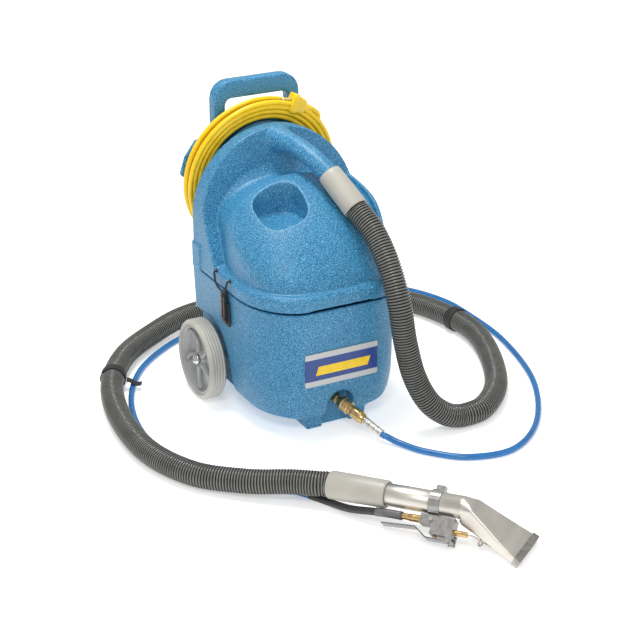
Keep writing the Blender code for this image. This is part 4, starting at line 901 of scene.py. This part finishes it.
def make_solution_hose():
    """Solution hose from the quick coupler to the tool's valve, with the coupler's brass pieces."""
    coupler = (
        ("coupler_body", 72, "base", [
            (0.0035, 0.048), (0.006, 0.046), (0.006, 0.022), (0.0094, 0.022), (0.0098, 0.0226),
            (0.0098, 0.0568), (0.0104, 0.0575), (0.0114, 0.0605), (0.0116, 0.064), (0.0116, 0.08),
            (0.0108, 0.0845), (0.0092, 0.088), (0.0035, 0.088)]),
        ("coupler_sleeve", 72, "quick_sleeve", [
            (0.0101, 0.026), (0.0118, 0.026), (0.0126, 0.0268), (0.013, 0.029), (0.0138, 0.0305),
            (0.0138, 0.034), (0.0128, 0.035), (0.0128, 0.045), (0.0136, 0.0462), (0.0136, 0.049),
            (0.0126, 0.05), (0.0101, 0.05)]),
        ("port_nipple", 6, "base", [
            (0.0, 0.0052), (0.0092, 0.0052), (0.01, 0.0062), (0.01, 0.0162), (0.0092, 0.017),
            (0.0056, 0.017), (0.0056, 0.0215), (0.005, 0.034), (0.0, 0.034)]),
    )
    for node, steps, body, profile in coupler:
        piece = lathe(f"{node}_piece", profile, COUPLER_START, COUPLER_AXIS, LOOKS["brass"], steps,
                      closed=profile[0][0] > 0)
        settle(crease(piece, 30), body, "brass", node)

    ridges = steps_of(0.088 + GAP, COUPLER_LENGTH, 40)
    crimped = [(0.0074 + 0.0008 * max(0.0, sin(TURN * (h - 0.092) / 0.0125)) + 0.0002, h) for h in ridges]
    ferrule = lathe("ribbed_ferrule", [(0.0035, ridges[0]), *crimped, (0.0035, COUPLER_LENGTH)],
                    COUPLER_START, COUPLER_AXIS, LOOKS["stainless"], 48)
    settle(ferrule, "base", "stainless", "hose_ferrule")

    start = COUPLER_START + COUPLER_AXIS * (COUPLER_LENGTH + GAP)
    rolled = tool_frame(VALVE_ROLL)
    finish = [rolled @ Vector((along, across, -down)) for along, across, down in SOLUTION_TOOL_STOPS]
    route = smooth_route([start, *SOLUTION_ROUTE, *finish], 400, SOLUTION_LIE)
    points = [start, start + COUPLER_AXIS * 0.006, *route[1:-1], finish[-1] - TOOL_AXIS * 0.004, finish[-1]]
    hose = tube_curve("blue_solution_hose", points, SOLUTION_R, LOOKS["blue_hose"])
    settle(hose, "base", "blue_hose", "solution_hose")

    # the black guard runs 0.2 m back from the valve: partly a real guard, partly a dark sheath painted in for
    # the shade on the hose behind the tool cuff
    covers = (("hose_guard", 0.2, 0.0006, "black"), ("hose_sleeve", 0.052, 0.0015, "grey"))
    for name, reach, extra, look in covers:
        covered = [point for point in route if (point - finish[-1]).length < reach]
        cover = tube_mesh(name, covered, lambda i, radius=SOLUTION_R + extra: radius, LOOKS[look])
        settle(cover, "base", "black_plastic")


def coil_point(radius, turn, across):
    """A point of the cord's coil: turn counts from +X towards up, across from the middle to the rear."""
    up = Vector((0, -sin(COIL_TILT), cos(COIL_TILT)))
    rear = Vector((0, cos(COIL_TILT), sin(COIL_TILT)))
    return COIL_CENTRE + radius * (Vector((cos(turn), 0, 0)) + sin(turn) * up) + across * rear


def make_power_cord():
    """The power cord: out of the strain relief, wound round the rear column, and into its plug."""
    join_turn = radians(-35)
    join = coil_point(COIL_OUTER + CORD_R + 0.0006, join_turn, 0.008)
    along = coil_point(1.0, join_turn + pi / 2, 0) - COIL_CENTRE
    relief_end = Vector((0.06, BASE_REAR + 0.03 + 2 * GAP, 0.14))
    stops = [relief_end, *LEAD_BEND, join - along * 0.035]
    lead = smooth_route([*stops, join], 40)[:-6]
    plug_axis = Vector((cos(PLUG_TURN), 0, sin(PLUG_TURN)))
    plug_end = PLUG_CENTRE + plug_axis * 0.0325
    # each turn's radius and its place across the coil, from the first wound to the last
    layers = ((0.156, 0.0102), (0.145, 0.01), (0.1345, 0.0098), (0.1245, 0.006),
              (0.127, -0.005), (0.137, -0.008), (0.1475, -0.0095), (0.156, -0.01), (0.1575, -0.003))
    steps, whole_turns, rest_of_turn = 44, 8, 74 / 360
    winding = []
    for step in range(3, int(steps * (whole_turns + rest_of_turn)) + 1):
        at = step / steps
        whole = int(at)
        share = at - whole
        ease = min(max((share - 0.8) / 0.2, 0.0), 1.0)
        ease = ease * ease * (3 - 2 * ease)
        low, high = layers[whole], layers[min(whole + 1, whole_turns)]
        radius = low[0] + (high[0] - low[0]) * ease
        across = low[1] + (high[1] - low[1]) * ease
        turn = join_turn + TURN * at
        wander = noise.noise(Vector((whole * 3.1, at * 2.2, 0.5)))
        winding.append(coil_point(radius + 0.0012 * wander, turn, across + 0.0012 * wander))
    last = winding[-1]
    ending = smooth_route([last, last.lerp(plug_end, 0.5) + Vector((0.0045, -0.002, 0.002)), plug_end], 6)[1:]
    points = smooth_route([*lead, *winding, *ending], 1100)
    cord = tube_curve("power_cord", points, CORD_R, LOOKS["yellow"])
    settle(cord, "base", "yellow_cord", "power_cord_coil", "power_cord_lead")
    plug = make_plug(plug_axis)


def make_plug(axis):
    """Three-pin plug: a moulded body with a ribbed tail, and bare pins that point along the coil."""
    side = axis.cross(BACK)

    def section(reach, half, thick, power):
        return [PLUG_CENTRE + axis * reach + BACK * (thick * signed_power(sin(turn), power))
                + side * (half * signed_power(cos(turn), power)) for turn in steps_of(0.0, TURN, 33)[:-1]]

    # place along the axis, half width, half thickness and the outline's power
    shape = ((-0.023, 0.0175, 0.012, 0.35), (-0.0218, 0.0195, 0.0138, 0.35),
             (-0.011, 0.0198, 0.014, 0.35), (-0.009, 0.0165, 0.0128, 0.4),
             (0.0000, 0.016, 0.0124, 0.45), (0.008, 0.014, 0.0112, 0.55),
             (0.013, 0.0088, 0.0082, 0.8), (0.015, 0.0076, 0.0074, 1.0), (0.0175, 0.0078, 0.0076, 1.0),
             (0.019, 0.0068, 0.0068, 1.0), (0.0215, 0.0072, 0.0072, 1.0), (0.023, 0.0062, 0.0062, 1.0),
             (0.0255, 0.0066, 0.0066, 1.0), (0.027, 0.0058, 0.0058, 1.0), (0.0325, 0.0054, 0.0054, 1.0))
    body = skin("plug_body", [section(*row) for row in shape], LOOKS["yellow"])
    back = PLUG_CENTRE - axis * 0.022
    for number, out in enumerate((0.0063, -0.0063)):
        corners = ((0.0031, 0.0008), (-0.0031, 0.0008), (-0.0031, -0.0008), (0.0031, -0.0008))
        rings = [[back + side * (out + across * narrow) + BACK * (wide * narrow - 0.002) - axis * reach
                  for wide, across in corners]
                 for reach, narrow in ((0.0, 1.0), (0.015, 1.0), (0.0165, 0.7))]
        crease(skin(f"plug_blade_{number}", rings, LOOKS["chrome"])).parent = body
    rod("plug_pin", back + BACK * 0.0055, -axis, 0.0175, 0.0023, LOOKS["chrome"], 24).parent = body
    settle(body, "base", "yellow_cord", "power_plug")
    return body


# ---- hand tool

def make_tool():
    """Stainless tube with its flared head, both open at their ends."""
    steel = LOOKS["stainless"]
    bore = 0.0188
    profile = [(bore, -0.02), (TOOL_TUBE_R - 0.0004, -0.02), (TOOL_TUBE_R, -0.0194),
               (TOOL_TUBE_R, TOOL_ELBOW), (bore, TOOL_ELBOW)]
    tube = lathe("tool_tube_piece", profile, TOOL_START, TOOL_AXIS, steel, 96)
    settle(tube, "base", "stainless", "tool_tube")

    elbow = TOOL_START + TOOL_AXIS * (TOOL_ELBOW + GAP)
    mouth_axis = (TOOL_MOUTH - elbow).normalized()
    side = UP.cross(TOOL_AXIS).normalized()

    def head_ring(share, thin):
        width, height = between(HEAD_SECTIONS, share)
        axis = TOOL_AXIS.lerp(mouth_axis, min(share * 20, 1.0)).normalized()
        up = axis.cross(side).normalized()
        power = 1.0 - 0.76 * min(share * 10, 1.0)
        centre = elbow.lerp(TOOL_MOUTH, share)
        return [centre + side * (width - thin) * signed_power(cos(turn), power)
                + up * (height - thin) * signed_power(sin(turn), power)
                for turn in steps_of(0.0, TURN, 81)[:-1]]

    shares = [0.0, 0.015, 0.03, 0.05, *steps_of(0.08, 1.0, 24)]
    outer = [head_ring(share, 0.0) for share in shares]
    inner = [head_ring(share, HEAD_WALL) for share in shares]
    start, end, low, high = LIP_SHARE, 0.996, 0.0003, -0.0022
    corners = ((start, low), (start, high), (end, high), (end, low), (start, low))
    lip = skin("head_lip", [head_ring(share, thin) for share, thin in corners], LOOKS["lip"], caps=False)
    crease(weld(lip), 28)
    rings = [*outer, *inner[::-1], outer[0]]
    head = crease(weld(skin("tool_head_piece", rings, steel, caps=False)), 28)
    low = mouth_axis.cross(side).normalized() * -between(HEAD_SECTIONS, TAB_SHARE)[1]
    root = elbow.lerp(TOOL_MOUTH, TAB_SHARE) + low - side * 0.03
    drop = low.normalized()
    hook = [root - drop * 0.002, root + drop * 0.008, root + drop * 0.0112 + mouth_axis * 0.0026,
            root + drop * 0.008 + mouth_axis * 0.0052, root + drop * 0.004 + mouth_axis * 0.0054]
    tab = tube_mesh("head_tab", smooth_route(hook, 24), lambda i: 0.0015, LOOKS["lip"], sides=12)
    tab.parent = head
    lip.parent = head
    settle(head, "base", "stainless", "tool_head")


def dress_nodes():
    """Better materials for the CAD nodes that stay."""
    plan = {
        "white": ("standpipe", "float_cage", "solution_filter"),
        "rubber": ("tank_gasket", "strain_relief"),
        "orange": ("float_ball",),
        "steel": ("motor_shelf", "axle", "axle_washer_left", "axle_washer_right"),
        "stainless": ("trigger_pin", "clamp_screw", "jet_tube"),
        "motor": ("vac_motor", "pump_motor"),
        "cast": ("vac_impeller", "tool_clamp", "valve_body"),
        "black": ("pump_rotor", "pump_head", "switch_panel", "latch_bracket_left", "latch_bracket_right"),
        "red": ("vacuum_switch", "pump_switch"),
        "clear": ("suction_line", "pressure_line"),
        "brass": ("valve_stem", "inlet_fitting", "outlet_fitting"),
        "lever": ("trigger_lever",),
    }
    for look, names in plan.items():
        for name in names:
            node = bpy.data.objects[name]
            node.data.materials.clear()
            node.data.materials.append(LOOKS[look])


# ---- floor, light, camera

def make_stage():
    """A plain pale floor, soft light and the camera."""
    shape = bmesh.new()
    bmesh.ops.create_grid(shape, x_segments=1, y_segments=1, size=FLOOR_SIZE)
    floor_look = mottled("pale_floor", (0.93, 0.93, 0.93), 0.75, scale=3.0, spread=0.004, depth=0.00002)
    lit = floor_look.node_tree.nodes["Principled BSDF"]
    lit.inputs["Emission Color"].default_value = (1.0, 1.0, 1.0, 1.0)
    lit.inputs["Emission Strength"].default_value = FLOOR_GLOW
    floor = finish_mesh("floor", shape, floor_look)
    scene = bpy.context.scene
    scene.view_settings.view_transform = "Standard"
    world = bpy.data.worlds.new("studio")
    world.use_nodes = True
    background = world.node_tree.nodes["Background"]
    background.inputs["Color"].default_value = (1.0, 1.0, 1.0, 1.0)
    background.inputs["Strength"].default_value = WORLD_LIGHT
    scene.world = world
    aim = Vector((0, 0.05, 0.25))
    for name, place, size, energy in LIGHTS:
        data = bpy.data.lights.new(name, "AREA")
        data.size, data.energy = size, energy
        light = bpy.data.objects.new(name, data)
        light.location = place
        light.rotation_euler = (aim - Vector(place)).to_track_quat("-Z", "Y").to_euler()
        scene.collection.objects.link(light)
    data = bpy.data.cameras.new("camera")
    data.lens, data.sensor_width = CAMERA_LENS, SENSOR_WIDTH
    camera = bpy.data.objects.new("camera", data)
    level = cos(CAMERA_ELEVATION)
    forward = Vector((sin(CAMERA_AZIMUTH) * level, cos(CAMERA_AZIMUTH) * level, -sin(CAMERA_ELEVATION)))
    camera.location = CAMERA_PLACE
    camera.rotation_euler = forward.to_track_quat("-Z", "Y").to_euler()
    scene.collection.objects.link(camera)
    scene.camera = camera


make_stage()
make_vacuum_hose()
make_solution_hose()
make_power_cord()
make_base()
make_tank()
make_column()
make_wheels()
make_latches()
make_label()
make_tool()
dress_nodes()
